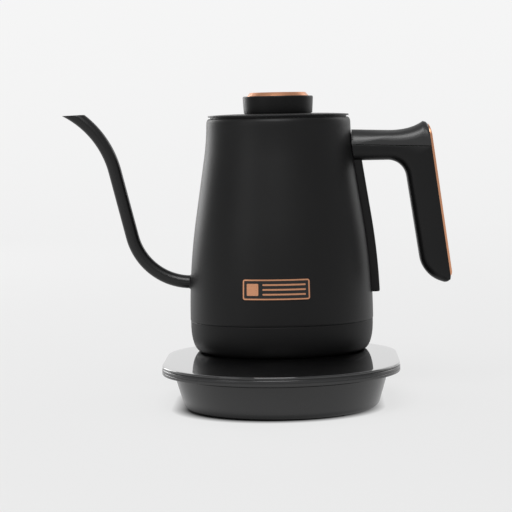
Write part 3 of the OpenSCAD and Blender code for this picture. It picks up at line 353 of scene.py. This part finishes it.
PANEL_T, PANEL_IN, GROOVE_T, DECK_T, LINE_W = 1.7, 1.2, 0.4, 4.4, 0.4
EDGE_IN, BASE_ROUND, SOCKET_R, HIDDEN_R = 0.05, 0.8, 20.0, 60.0
panel_low = PANEL - PANEL_T
groove_low = panel_low - GROOVE_T
deck_low = groove_low - DECK_T
line_low = (deck_low + groove_low - LINE_W) / 2

# outlines as (distance in from the base's edge, height)
panel = [(PANEL_IN, groove_low), (PANEL_IN, panel_low), (0.5, panel_low), (EDGE_IN, panel_low + 0.35)]
panel += [(BASE_ROUND - (BASE_ROUND - EDGE_IN) * sin(a), PANEL - BASE_ROUND * (1 - cos(a)))
          for a in steps(pi / 2, 0, 8)] + [(5, PANEL)]
deck = [(0.7, deck_low), (0.25, deck_low + 0.15), (EDGE_IN, deck_low + 0.5), (EDGE_IN, line_low - 0.15),
        (0.2, line_low), (0.4, line_low), (0.4, line_low + LINE_W), (0.2, line_low + LINE_W),
        (EDGE_IN, line_low + LINE_W + 0.15), (EDGE_IN, groove_low - 0.6), (0.2, groove_low - 0.25), (0.55, groove_low)]
oval("panel_top", [(BASE_R - d, z) for d, z in panel], "base", GLOSS, ("base_top_panel",), hole=SOCKET_R)
oval("deck_rim", [(HIDDEN_R, deck_low)] + [(BASE_R - d, z) for d, z in deck] + [(HIDDEN_R, groove_low)],
     "base", TUB, ("base_deck",), hole=SOCKET_R)

TUB_LOW, TUB_LOW_R, TUB_TOP_R = 1.5, 67.5, 75.0
TUB_UNDER, TUB_FLOOR, TUB_T, TUB_LINE = 0.8, 3.9, 2.4, 0.7


def tub_r(z):
    """Radius of the tub's tapered wall at a height."""
    return TUB_LOW_R + (TUB_TOP_R - TUB_LOW_R) * (z - TUB_LOW) / (deck_low - TUB_LOW)


line_r = tub_r(deck_low - 1.6)
tub = fillet([(HIDDEN_R, TUB_UNDER, 0), (TUB_LOW_R + 0.2, TUB_UNDER, 6), (line_r, deck_low - 1.6, 0.2),
              (line_r - TUB_LINE, deck_low - 1.5, 0), (line_r - TUB_LINE, deck_low - 1.0, 0),
              (tub_r(deck_low - 1.0), deck_low - 0.9, 0), (TUB_TOP_R, deck_low, 0), (TUB_TOP_R - TUB_T, deck_low, 0),
              (65.2, TUB_FLOOR, 4.6), (HIDDEN_R, TUB_FLOOR, 0)], 10)
oval("tub_shell", tub[::-1], "base", TUB, ("base_tub",))

FEET = (40, 23.5), (-40, 23.5), (40, -122.5), (-40, -122.5)
FOOT_LOW_R, FOOT_R, FOOT_H = 3.4, 3.8, 2.5
foot = fillet([(0, 0, 0), (FOOT_LOW_R, 0, 0.5), (FOOT_R, FOOT_H, 0), (0, FOOT_H, 0)], 4)
for i, (x, y) in enumerate(FEET):
    ob = lathe(f"foot_{i + 1}", foot, "base", RUBBER, ("base_feet",), around=48)
    ob.data.transform(Matrix.Translation((x / MM, y / MM, 0)))

# ---------- kettle body ----------

RIM_ROLL, RIM_ROUND, RIM_LIP, RIM_FOLD = 2.1, 3.6, 3.3, 2.4


def wall_line(inset, from_h, to_h, n):
    return [(body_r(h) - inset, PANEL + h) for h in steps(from_h, to_h, n)]


seam_r = body_r(SEAM_H)
seam = [(seam_r - WALL, PANEL + SEAM_H), (seam_r - 0.45, PANEL + SEAM_H), (seam_r - 0.12, PANEL + SEAM_H + 0.15)]
rim = [(RIM_R - RIM_ROLL * (1 - cos(a)), RIM - RIM_ROUND * (1 - sin(a))) for a in steps(0, pi / 2, 12)]
rim += [(RIM_R - 2.4, RIM), (RIM_R - 3.0, RIM - 0.25), (RIM_R - RIM_LIP, RIM - 0.8), (RIM_R - RIM_LIP, RIM - 1.7),
        (RIM_R - 3.0, RIM - 2.3), (RIM_R - 2.6, RIM - RIM_FOLD), (RIM_R - WALL / 2, RIM - RIM_FOLD)]
lathe("body_coated", seam + wall_line(0, SEAM_H + 0.5, RIM_H - RIM_ROUND - 0.2, 90) + rim +
      wall_line(WALL / 2, RIM_H - RIM_FOLD, SEAM_H + 0.2, 30),
      "kettle", POWDER, ("body_shell",))
lathe("body_lining", wall_line(WALL, RIM_H - RIM_FOLD, SEAM_H + 0.2, 60) +
      wall_line(WALL / 2 + 0.02, SEAM_H + 0.2, RIM_H - RIM_FOLD, 30),
      "kettle", STEEL, ("body_shell",))

# ---------- skirt ----------

STAND_R, SKIRT_R, SKIRT_ROUND = 58.8, BODY_R - 0.3, 2.3


def skirt_r(h):
    rise = max(0, 1 - h / (SEAM_H - 2))
    return STAND_R + (SKIRT_R - STAND_R) * (1 - rise ** SKIRT_ROUND) ** (1 / SKIRT_ROUND)


curve = [(skirt_r(h), PANEL + h)
         for h in [0, 0.02, 0.08, 0.2, 0.4, 0.7, 1.1, 1.6, 2.2, 3] + steps(4, SEAM_H - 0.5, 36)]
lathe("skirt_ring", [(33, PANEL + 3), (54.5, PANEL + 3), (54.5, PANEL + 0.4), (54.9, PANEL)] + curve +
      [(SKIRT_R - 0.15, PANEL + SEAM_H - 0.15), (SKIRT_R - 0.5, PANEL + SEAM_H), (60, PANEL + SEAM_H),
       (60, PANEL + 10), (55, PANEL + 5.5), (33, PANEL + 5.5)],
      "kettle", SKIRT, ("skirt",))

# ---------- spout ----------

SPOUT_R, SPOUT_WALL, SPOUT_H = 4.85, 0.8, 51.2
LOW_R, RUN, LEAN, HIGH_R, SLOPE, TILT = 44.6, 50.0, radians(13.7), 70.2, radians(33.6), radians(2)
SPOUT_AROUND, FAN_FROM, PAST_MOUTH, WELD_W = 96, 0.45, 30, 1.1
turns = [2 * pi * k / SPOUT_AROUND for k in range(SPOUT_AROUND)]
low_turn, high_turn = pi / 2 - LEAN, pi / 2 - LEAN - SLOPE
LOW_LEN, HIGH_LEN = LOW_R * low_turn, HIGH_R * high_turn
SPOUT_LEN = LOW_LEN + RUN + HIGH_LEN
low_mid = Vector((WALL - body_r(SPOUT_H), PANEL + SPOUT_H + LOW_R))
run_from = low_mid + LOW_R * Vector((-sin(low_turn), -cos(low_turn)))
run_way = Vector((-sin(LEAN), cos(LEAN)))
high_mid = run_from + RUN * run_way + HIGH_R * Vector((-cos(LEAN), -sin(LEAN)))


def spout_at(s):
    """Point at length s of the spout's path, and the normal there that every ring starts from."""
    if s < LOW_LEN:
        a = -pi / 2 - s / LOW_R
        n = Vector((cos(a), sin(a)))
        return low_mid + LOW_R * n, n
    if s < LOW_LEN + RUN:
        return run_from + (s - LOW_LEN) * run_way, Vector((-cos(LEAN), -sin(LEAN)))
    a = LEAN + (s - LOW_LEN - RUN) / HIGH_R
    n = Vector((cos(a), sin(a)))
    return high_mid + HIGH_R * n, -n


mouth, _ = spout_at(SPOUT_LEN)


def spout_point(s, a, r):
    p, n = spout_at(s)
    q = p + n * r * cos(a)
    return Vector((q.x, r * sin(a), q.y))


def cut_length(a, r, drop):
    """Length at which a line along the tube meets the mouth's level cut."""
    low_s, high_s = LOW_LEN + RUN, SPOUT_LEN + PAST_MOUTH
    for _ in range(40):
        mid = (low_s + high_s) / 2
        p = spout_point(mid, a, r)
        if (p.z - mouth.y) - (p.x - mouth.x) * tan(TILT) + drop > 0:
            high_s = mid
        else:
            low_s = mid
    return low_s


def tube_rows(r, drop, rows, tail):
    """Rows of points along the tube; the last ones fan out to meet the level cut."""
    fan = LOW_LEN + RUN + HIGH_LEN * FAN_FROM
    ends = [cut_length(a, r, drop) for a in turns]
    out = [[spout_point(fan * i / rows, a, r) for a in turns] for i in range(rows + 1)]
    for i in range(1, tail + 1):
        out.append([spout_point(fan + (end - fan) * i / tail, a, r) for a, end in zip(turns, ends)])
    return out


lip = [[spout_point(cut_length(a, SPOUT_R - d, drop), a, SPOUT_R - d) for a in turns]
       for d, drop in ((0.08, 0.1), (0.25, 0.0), (0.5, 0.0), (0.7, 0.1))]
rows = tube_rows(SPOUT_R, 0.3, 120, 24) + lip + tube_rows(SPOUT_R - SPOUT_WALL, 0.3, 90, 24)[::-1]
build("spout_neck", [tuple(p) for row in rows for p in row], ring_faces(len(rows), SPOUT_AROUND, looped=True),
      "kettle", SPOUT, ("spout_tube",), smooth=50)

# weld where the tube leaves the body: a small fillet that follows the wall
rings = []
for out_along, out_by in ((0.0, WELD_W), (0.25, 0.55), (0.55, 0.22), (1.0, 0.02)):
    run = out_along * WELD_W
    row = []
    for a in turns:
        y, z = (SPOUT_R + out_by) * sin(a), PANEL + SPOUT_H - (SPOUT_R + out_by) * cos(a)
        x = -sqrt(body_r(z - PANEL) ** 2 - y * y) - run + (0 if run else 0.15)
        row.append((x, y, z + (run / LOW_R) ** 2 * LOW_R / 2))
    rings.append(row)
inside_r = SPOUT_R - 0.05
rings.append([(x, y * inside_r / (SPOUT_R + 0.02), z) for x, y, z in rings[-1]])
rings.append([(-body_r(SPOUT_H) + 0.6, inside_r * sin(a), PANEL + SPOUT_H - inside_r * cos(a)) for a in turns])
build("spout_weld", [p for row in rings for p in row], ring_faces(len(rings), SPOUT_AROUND, looped=True),
      "kettle", POWDER, ("spout_collar",), smooth=60)

# ---------- handle ----------

HANDLE_W = 22.0
ARM_LOW, ARM_SEAM, SEAM_FALL, SEAM_GAP, ARM_TOP = 138.7, 150.5, 2.2, 0.12, 161.6
PEAK_H, PEAK_X, REACH, BACK_LEAN = 166.7, 105.9, 113.4, radians(7.5)
GRIP_DEPTH, TAPER, ELBOW_R, EDGE_R, BACK_EDGE_R = 21.2, radians(0.8), 14.0, 7.0, 0.35
TOE_H, TOE_R, TOE_SLOPE, TIP_R = 46.4, 22.5, 0.333, 4.0
INLAY_T, INLAY_W, INLAY_LOW, INLAY_HIGH = 1.8, 17.0, 53.0, 164.8
IN_WALL, FIT = 2, 0.7


def back_x(h):
    return REACH + (ARM_SEAM - h) * tan(BACK_LEAN)


def shell_x(h):
    return back_x(h) - INLAY_T / cos(BACK_LEAN)


def on_shell(h):
    return Vector((shell_x(h), h))


def in_wall(h):
    """Point inside the body's wall, where the arm starts."""
    return Vector((body_r(h) - IN_WALL, h))


elbow_x = shell_x(ARM_LOW) - GRIP_DEPTH / cos(BACK_LEAN)
inner_tan = tan(BACK_LEAN + TAPER)
toe_corner = on_shell(TOE_H)
inner_h = (TOE_H + TOE_SLOPE * (toe_corner.x - elbow_x - ARM_LOW * inner_tan)) / (1 - TOE_SLOPE * inner_tan)
inner_corner = Vector((elbow_x + (ARM_LOW - inner_h) * inner_tan, inner_h))
seam_corner = on_shell(ARM_SEAM - SEAM_FALL)
elbow_corner = Vector((elbow_x, ARM_LOW))
seam_gap = Vector((0, SEAM_GAP))

elbow = round_corner((0, ARM_LOW), elbow_corner, inner_corner, ELBOW_R, 24)
toe = round_corner(elbow_corner, inner_corner, toe_corner, TOE_R, 24)
tip = round_corner(inner_corner, toe_corner, seam_corner, TIP_R, 12)

# matching stretches of the inner and outer edges: arm, elbow, side, toe
arm_from, arm_to = in_wall(ARM_SEAM) - seam_gap, seam_corner - seam_gap
mid_arm = arm_from.lerp(arm_to, 0.42)
side_top, side_low = on_shell(elbow[-1].y + 2), on_shell(toe[0].y - 4)
near_tip = tip[-1].lerp(side_low, 0.35)
pairs = []
for under, upper, n in (
        ([in_wall(ARM_LOW), elbow[0]], [arm_from, mid_arm], 16),
        (elbow[:13], [mid_arm, arm_to], 12),
        (elbow[12:], [arm_to, side_top], 12),
        ([elbow[-1], toe[0]], [side_top, side_low], 40),
        (toe, [side_low, near_tip], 20),
        ([toe[-1]] + tip[:9], [near_tip, tip[-1], tip[9]], 14)):
    pairs += list(zip(resample(under, n), resample(upper, n)))[1 if pairs else 0:]


def along(under, upper, ring):
    """A ring of (y, distance along) points set on the line from under to upper."""
    d = (upper - under).normalized()
    return [(under.x + d.x * t, y, PANEL + under.y + d.y * t) for y, t in ring]


def to_wall(points, fit):
    """Moves a section's points onto the body's wall."""
    return [(sqrt((body_r(z - PANEL) + fit) ** 2 - y * y), y, z) for _, y, z in points]


back_turns, front_turns = steps(0, pi / 2, 3), steps(0, pi / 2, 8)
half = HANDLE_W / 2
sections = []
for under, upper in pairs:
    depth = (upper - under).length
    r, r_in = EDGE_R, min(EDGE_R, depth * 0.6)
    ring = [(-half + BACK_EDGE_R * (1 - sin(a)), depth - BACK_EDGE_R * (1 - cos(a))) for a in back_turns]
    ring += [(-half + r - r * cos(a), r_in - r_in * sin(a)) for a in front_turns]
    ring += [(half - r + r * sin(a), r_in - r_in * cos(a)) for a in front_turns]
    ring += [(half - BACK_EDGE_R * (1 - cos(a)), depth - BACK_EDGE_R * (1 - sin(a))) for a in back_turns]
    sections.append(along(under, upper, ring))
sections[0] = to_wall(sections[0], FIT)
loft("grip_moulding", sections, "kettle", HANDLE, ("handle_grip",))

# cover: a domed moulding over the arm, its top line rising to the peak
COVER_DROP, CROWN_X, CROWN_DROP, FLANK_STEPS, COVER_EDGE = 11.2, 4.2, 0.9, 22, 0.3
CROWN_TURN, LEAN_LOW, LEAN_MORE, LEAN_EASE = 1.05, 0.12, 1.4, 1.9
RISE_L, RISE_TURN, CREST_DROP = 24, 8.6, 2.5


def cover_half():
    """Half of the cover's section as (x, fall), crown first; its slope eases from the crown to the side."""
    crown = [(CROWN_X * sin(a), CROWN_DROP * (1 - cos(a))) for a in steps(0, CROWN_TURN, 5)]
    x, fall = crown[-1]
    step = (COVER_DROP - fall) / FLANK_STEPS
    leans = [LEAN_LOW + LEAN_MORE * (1 - (i + 0.5) / FLANK_STEPS) ** LEAN_EASE for i in range(FLANK_STEPS)]
    gain = (HANDLE_W / 2 - x) / (sum(leans) * step)
    for lean in leans:
        x, fall = x + lean * step * gain, fall + step
        crown.append((x, fall))
    return crown


rise_from = Vector((PEAK_X - RISE_L, ARM_TOP - 1.1))
rise_turn, peak = Vector((PEAK_X - RISE_TURN, rise_from.y)), Vector((PEAK_X, PEAK_H))
rise = [rise_from * (1 - t) ** 2 + rise_turn * 2 * t * (1 - t) + peak * t * t for t in steps(0, 1, 40)]
top_line = resample([in_wall(ARM_TOP), rise_from], 12)[:-1] + resample(rise, 28)
for _ in range(8):
    middle = [(a + 2 * b + c) / 4 for a, b, c in zip(top_line, top_line[1:-1], top_line[2:])]
    top_line = top_line[:1] + middle + top_line[-1:]
crest_end = on_shell(PEAK_H - CREST_DROP)
top_line += round_corner(peak, peak + Vector((2.2, -0.6)), crest_end, 1.4, 4) + [crest_end]
seam_line = resample([in_wall(ARM_SEAM) + seam_gap, seam_corner + seam_gap], len(top_line) - 1)
half_ring = cover_half()
sections = []
for under, upper in zip(seam_line, top_line):
    depth = (upper - under).length
    ring = [(-half + COVER_EDGE, 0.0), (-half, COVER_EDGE)] + [(-x, depth - fall) for x, fall in half_ring[::-1]]
    ring += [(x, depth - fall) for x, fall in half_ring[1:]] + [(half, COVER_EDGE), (half - COVER_EDGE, 0.0)]
    sections.append(along(under, upper, ring))
sections[0] = to_wall(sections[0], FIT)
loft("cover_moulding", sections, "kettle", COVER, ("handle_top_cover",))

# copper strip down the handle's back, leaning in at both ends
CREST_L, CREST_FALL, TAIL_L, TAIL_FALL, TAIL_R = 9.0, 1.3, 5.0, 1.2, 3
strip_l, half = (INLAY_HIGH - INLAY_LOW) / cos(BACK_LEAN), INLAY_W / 2
ring = [Vector((half * cos(a), strip_l - half + half * sin(a))) for a in steps(0, pi, 40)]
ring += round_corner((-half, half), (-half, 0), (0, 0), TAIL_R, 8)
ring += round_corner((0, 0), (half, 0), (half, half), TAIL_R, 8)
outward = []
for i, p in enumerate(ring):
    a, b = ring[i - 1], ring[(i + 1) % len(ring)]
    outward.append(Vector(((b - a).y, -(b - a).x)).normalized())
lean_cos, lean_sin = cos(BACK_LEAN), sin(BACK_LEAN)
strip_x, strip_z = back_x(INLAY_LOW), PANEL + INLAY_LOW
sections = []
for depth, inset in ((-0.3, 0.0), (INLAY_T - 0.6, 0.0), (INLAY_T - 0.25, 0.12), (INLAY_T - 0.07, 0.35),
                     (INLAY_T, 0.75), (INLAY_T, 2.5)):
    row = []
    for p, n in zip(ring, outward):
        q = p - n * inset
        over = max(0, (q.y - (strip_l - CREST_L)) / CREST_L)
        below = max(0, (TAIL_L - q.y) / TAIL_L)
        d = max(-0.4, depth - CREST_FALL * over ** 2 - TAIL_FALL * below ** 2)
        row.append((strip_x + (d - INLAY_T) * lean_cos - q.y * lean_sin, q.x,
                    strip_z + (d - INLAY_T) * lean_sin + q.y * lean_cos))
    sections.append(row)
loft("copper_inlay", sections, "kettle", COPPER, ("handle_copper_strip",), smooth=35)

# ---------- strap ----------

STRAP_W, STRAP_T, STRAP_LOW, STRAP_HIGH = 16.0, 5.6, 42.3, ARM_LOW + 0.6
STRAP_R, STRAP_END, STRAP_END_IN = 2.2, 1.1, 0.9
sections = []
corner = steps(0, pi / 2, 6)
heights = [STRAP_LOW, STRAP_LOW + 0.15, STRAP_LOW + 0.5, STRAP_LOW + STRAP_END] + steps(STRAP_LOW + 3, STRAP_HIGH, 40)
for h in heights:
    left = max(0, 1 - (h - STRAP_LOW) / STRAP_END)
    inset = STRAP_END_IN * (1 - sqrt(max(0, 1 - left ** 2)))
    half, proud, r = STRAP_W / 2 - inset, STRAP_T - inset, STRAP_R
    ring = [(-half, -0.2)] + [(-half + r - r * cos(a), proud - r + r * sin(a)) for a in corner]
    ring += [(half - r + r * sin(a), proud - r + r * cos(a)) for a in corner] + [(half, -0.2)]
    sections.append([(sqrt((body_r(h) + t) ** 2 - y * y), y, PANEL + h) for y, t in ring])
loft("strap_cover", sections, "kettle", SKIRT, ("strap",))

# ---------- badge ----------

BADGE_W, BADGE_H, BADGE_R, BADGE_MID, BADGE_TURN = 48.0, 14.5, 1.6, 50.0, radians(-2.4)
BADGE_GAP, BORDER_W, STRIPE_W = 3, 1.0, 1.2
PLATE_PROUD, TRIM_PROUD = (-0.1, 0.5), (0.4, 0.8)
COLUMN = 1.0


def curved_plate(name, outline, proud, material, nodes):
    """Flat outline laid on the body's front as a raised plate, cut into columns about a millimetre wide."""
    bm = bmesh.new()
    bm.faces.new([bm.verts.new((*p, 0)) for p in outline])
    width = max(p[0] for p in outline)
    x = -width + COLUMN
    while x < width - COLUMN / 2:
        bmesh.ops.bisect_plane(bm, geom=bm.verts[:] + bm.edges[:] + bm.faces[:],
                               plane_co=(x, 0, 0), plane_no=(1, 0, 0))
        x += COLUMN
    made = bmesh.ops.extrude_face_region(bm, geom=bm.faces[:])
    for v in made["geom"]:
        if isinstance(v, bmesh.types.BMVert):
            v.co.z = 1
    points = []
    for v in bm.verts:
        h = BADGE_MID + v.co.y
        r = body_r(h) + proud[v.co.z > 0.5]
        a = v.co.x / body_r(BADGE_MID) - pi / 2 + BADGE_TURN
        points.append((r * cos(a), r * sin(a), PANEL + h))
    bm.verts.index_update()
    faces = [tuple(v.index for v in f.verts) for f in bm.faces]
    bm.free()
    return build(name, points, faces, "kettle", material, nodes, smooth=30)


def rounded_rect(w, h, r, cx=0.0, cy=0.0, n=6):
    corners = fillet([(-w / 2, -h / 2, r), (w / 2, -h / 2, r), (w / 2, h / 2, r), (-w / 2, h / 2, r)], n)
    return [(p.x + cx, p.y + cy) for p in corners]


def frame_strips(w, h, r, border):
    """The badge's border as four outlines that meet at the corners' middles."""
    outer, inner = rounded_rect(w, h, r), rounded_rect(w - 2 * border, h - 2 * border, max(r - border, 0.3))
    count, quarter = len(outer), len(outer) // 4
    strips = []
    for side in range(4):
        run = [(side * quarter + quarter // 2 + i) % count for i in range(quarter + 1)]
        strips.append([outer[i] for i in run] + [inner[i] for i in run[::-1]])
    return strips


curved_plate("badge_face", rounded_rect(BADGE_W, BADGE_H, BADGE_R), PLATE_PROUD, BADGE, ("badge_plate",))
for i, strip in enumerate(frame_strips(BADGE_W, BADGE_H, BADGE_R, BORDER_W)):
    curved_plate(f"badge_border_{i + 1}", strip, TRIM_PROUD, COPPER, ("badge_trim",))
tile = BADGE_H - 2 * BADGE_GAP
tile_x = -BADGE_W / 2 + BADGE_GAP + tile / 2
curved_plate("badge_tile", rounded_rect(tile, tile, 0.6, tile_x), TRIM_PROUD, COPPER, ("badge_trim",))
stripe_l = BADGE_W - tile - 3 * BADGE_GAP
stripe_x = tile_x + tile / 2 + BADGE_GAP + stripe_l / 2
for i in (-1, 0, 1):
    stripe = rounded_rect(stripe_l, STRIPE_W, 0.4, stripe_x, i * tile * 0.4, 3)
    curved_plate(f"badge_stripe_{i + 2}", stripe, TRIM_PROUD, COPPER, ("badge_trim",))

# ---------- lid ----------

LID_R, LID_EDGE, LID_DOME, LID_GAP, LID_ROUND = 51.7, 1.2, 1.0, 1.0, 0.2
CUP_GAP, CUP_H, CUP_T, CUP_FLANGE = 0.6, 13, 1, 0.8
KNOB_R, KNOB_FLARE, KNOB_H, NECK_R, NECK_H = 25.2, 0.7, 12.7, 24.4, 0.3
CAP_R, CAP_TOP_R, CAP_H, CAP_RIM, CAP_DISH, CAP_SEAT = 22.4, 20.4, 2.7, 1.6, 1.2, 2
plate_low = RIM + LID_GAP
plate_edge = plate_low + LID_EDGE
plate_top = plate_edge + LID_DOME
cup_r, cup_low = RIM_R - RIM_LIP - CUP_GAP, RIM - CUP_H
boss_r, flange_r = cup_r + 1.1, cup_r + CUP_FLANGE
dome = [(r, plate_top - LID_DOME * ((r - NECK_R) / (LID_R - NECK_R)) ** 2) for r in steps(NECK_R, LID_R - 0.5, 30)]
lathe("lid_disc", [(0, RIM + 0.1), (boss_r, RIM + 0.1), (boss_r, plate_low), (LID_R - LID_ROUND, plate_low),
                   (LID_R, plate_low + LID_ROUND), (LID_R, plate_edge - LID_ROUND),
                   (LID_R - 0.06, plate_edge - 0.06), (LID_R - LID_ROUND, plate_edge)] + dome[::-1] + [(0, plate_top)],
      "lid", POWDER, ("lid_plate",))
lathe("lid_basin", fillet([(0, cup_low, 0), (cup_r, cup_low, 3), (cup_r, RIM, 0), (flange_r, RIM, 0.1),
                           (flange_r, plate_low, 0), (cup_r - 1.6, plate_low, 0), (cup_r - 1.6, cup_low + CUP_T, 2),
                           (0, cup_low + CUP_T, 0)], 6),
      "lid", STEEL, ("lid_cup",))
seal_in, seal_out, seal_low, seal_high = cup_r - 0.6, cup_r + 0.25, cup_low + 4, cup_low + 7
lathe("lid_gasket", fillet([(seal_in, seal_low, 0), (seal_out, seal_low, 0.3), (seal_out, seal_high, 0.3),
                            (seal_in, seal_high, 0)], 3),
      "lid", RUBBER, ("lid_seal",))
knob_top, neck_top = plate_top + KNOB_H, plate_top + NECK_H
seat = knob_top - CAP_SEAT
lathe("knob_puck", fillet([(0, plate_top, 0), (NECK_R, plate_top, 0), (NECK_R, neck_top, 0), (KNOB_R, neck_top, 0.4),
                           (KNOB_R + KNOB_FLARE, knob_top, 1.0), (CAP_R + 0.1, knob_top, 0.15),
                           (CAP_R + 0.1, knob_top - 0.5, 0), (CAP_R - 1.2, knob_top - 0.5, 0),
                           (CAP_R - 1.2, seat, 0), (0, seat, 0)], 6),
      "lid", KNOB, ("lid_knob",))
cap_top, dish_r = knob_top + CAP_H, CAP_TOP_R - CAP_RIM
lathe("cap_copper", fillet([(0, seat, 0), (CAP_R - 1.3, seat, 0), (CAP_R - 1.3, knob_top, 0), (CAP_R, knob_top, 0.1),
                            (CAP_R, knob_top + 0.35, 0.15), (CAP_TOP_R, cap_top, 0.35), (dish_r, cap_top, 0.3),
                            (dish_r - 0.8, cap_top - CAP_DISH, 0.5), (0, cap_top - CAP_DISH, 0)], 6),
      "lid", COPPER, ("knob_cap",))

# ---------- floor, light and camera, metres ----------

SWEEP_FROM, SWEEP_R, SWEEP_NEAR, SWEEP_H, SWEEP_HALF = 2.2, 1.6, -6.0, 6.0, 8.0
floor_mat, floor_tree, floor_shader = new_material("studio_floor", (0.12, 0.12, 0.12), 0.9, spec=0.1)
coord = floor_tree.nodes.new("ShaderNodeTexCoord")
place = floor_tree.nodes.new("ShaderNodeSeparateXYZ")
floor_tree.links.new(coord.outputs["Object"], place.inputs["Vector"])
# painted light: the floor's glow, brighter towards the back and up the backdrop
glow = spread_to(floor_tree, place.outputs["Y"], 0.70, 0.88, -0.3, 3.8)

# painted shadow: the sweep's glow falls to nothing under the base and fades back over about a centimetre around it,
# over an oval about the base's footprint
SHADOW_X, SHADOW_Y, SHADOW_HALF, SHADOW_R, SHADOW_FADE = 0.0142, -0.003, 0.028, 0.063, 0.0755
off_x = calc(floor_tree, "SUBTRACT", place.outputs["X"], SHADOW_X)
off_y = calc(floor_tree, "ABSOLUTE", calc(floor_tree, "SUBTRACT", place.outputs["Y"], SHADOW_Y))
off_y = calc(floor_tree, "MAXIMUM", calc(floor_tree, "SUBTRACT", off_y, SHADOW_HALF))
squares = [calc(floor_tree, "MULTIPLY", d, d) for d in (off_x, off_y)]
away = calc(floor_tree, "SQRT", calc(floor_tree, "ADD", *squares))
# painted shadow: the glow is dimmed to nothing near the base
glow = calc(floor_tree, "MULTIPLY", glow, spread_to(floor_tree, away, 0.0, 1.0, SHADOW_R, SHADOW_FADE))

# the glow is seen by the camera and in gloss and glass, and lights nothing
rays = floor_tree.nodes.new("ShaderNodeLightPath")
seen = rays.outputs["Is Camera Ray"]
for kind in ("Is Glossy Ray", "Is Transmission Ray"):
    seen = calc(floor_tree, "MAXIMUM", seen, rays.outputs[kind])
floor_shader.inputs["Emission Color"].default_value = (1, 1, 1, 1)
floor_tree.links.new(calc(floor_tree, "MULTIPLY", glow, seen), floor_shader.inputs["Emission Strength"])

bend = [(SWEEP_FROM + SWEEP_R * sin(a), SWEEP_R - SWEEP_R * cos(a)) for a in steps(0, pi / 2, 24)]
profile = [(SWEEP_NEAR, 0.0)] + bend + [(SWEEP_FROM + SWEEP_R, SWEEP_H)]
points = [(x, y, z) for y, z in profile for x in (-SWEEP_HALF, SWEEP_HALF)]
faces = [(2 * i, 2 * i + 1, 2 * i + 3, 2 * i + 2) for i in range(len(profile) - 1)]
me = bpy.data.meshes.new("studio_sweep")
me.from_pydata(points, [], faces)
me.materials.append(floor_mat)
me.polygons.foreach_set("use_smooth", [True] * len(me.polygons))
sweep = bpy.data.objects.new("studio_sweep", me)
bpy.context.scene.collection.objects.link(sweep)

world = bpy.data.worlds.new("studio_air")
bpy.context.scene.world = world
world.use_nodes = True
world.node_tree.nodes["Background"].inputs["Color"].default_value = (0.93, 0.94, 0.95, 1)
world.node_tree.nodes["Background"].inputs["Strength"].default_value = 0.5

# name, place, what it faces, width, height, watts
LAMPS = (
    ("softbox_front", (-0.15, -1.25, 1.6), (0, 0, 0.15), 1.1, 1.1, 22),
    ("softbox_left", (-1.4, -1.2, 0.8), (0, 0, 0.12), 0.7, 0.9, 3),
    ("softbox_left_back", (-1.1, 1.5, 0.55), (0, 0, 0.1), 0.6, 0.9, 6),
    ("softbox_right", (1.3, 1.2, 0.75), (0, 0, 0.1), 0.6, 0.9, 2.5),
)
for name, spot, aim, width, height, watts in LAMPS:
    data = bpy.data.lights.new(name, "AREA")
    data.shape, data.size, data.size_y, data.energy = "RECTANGLE", width, height, watts
    ob = bpy.data.objects.new(name, data)
    bpy.context.scene.collection.objects.link(ob)
    ob.location = spot
    ob.rotation_euler = (Vector(aim) - Vector(spot)).to_track_quat("-Z", "Y").to_euler()

# the photograph's view: angles in degrees, focal length in picture points of a 512 point picture
AROUND, TURNED, PITCH, ROLL = 0.85, 0.71, 4.01, 1.12
DISTANCE, EYE, FOCAL, PICTURE, SENSOR = 1.474, 0.1728 + PANEL / MM, 2000, 512, 36
az, yaw, pitch, roll = radians(AROUND), radians(AROUND + TURNED), radians(PITCH), radians(ROLL)
forward = Vector((-sin(yaw) * cos(pitch), cos(yaw) * cos(pitch), -sin(pitch)))
right = Vector((cos(yaw), sin(yaw), 0))
up = right.cross(forward)
rolled_right, rolled_up = right * cos(roll) - up * sin(roll), right * sin(roll) + up * cos(roll)
facing = Matrix((rolled_right, rolled_up, -forward)).transposed()
eye = (AXIS_X + DISTANCE * sin(az), AXIS_Y - DISTANCE * cos(az), EYE)
cam_data = bpy.data.cameras.new("camera")
cam = bpy.data.objects.new("camera", cam_data)
bpy.context.scene.collection.objects.link(cam)
cam.matrix_world = Matrix.Translation(eye) @ facing.to_4x4()
cam_data.sensor_width = SENSOR
cam_data.lens = FOCAL / PICTURE * SENSOR
cam_data.clip_end = 50
bpy.context.scene.camera = cam
bpy.context.scene.view_settings.view_transform = "Standard"
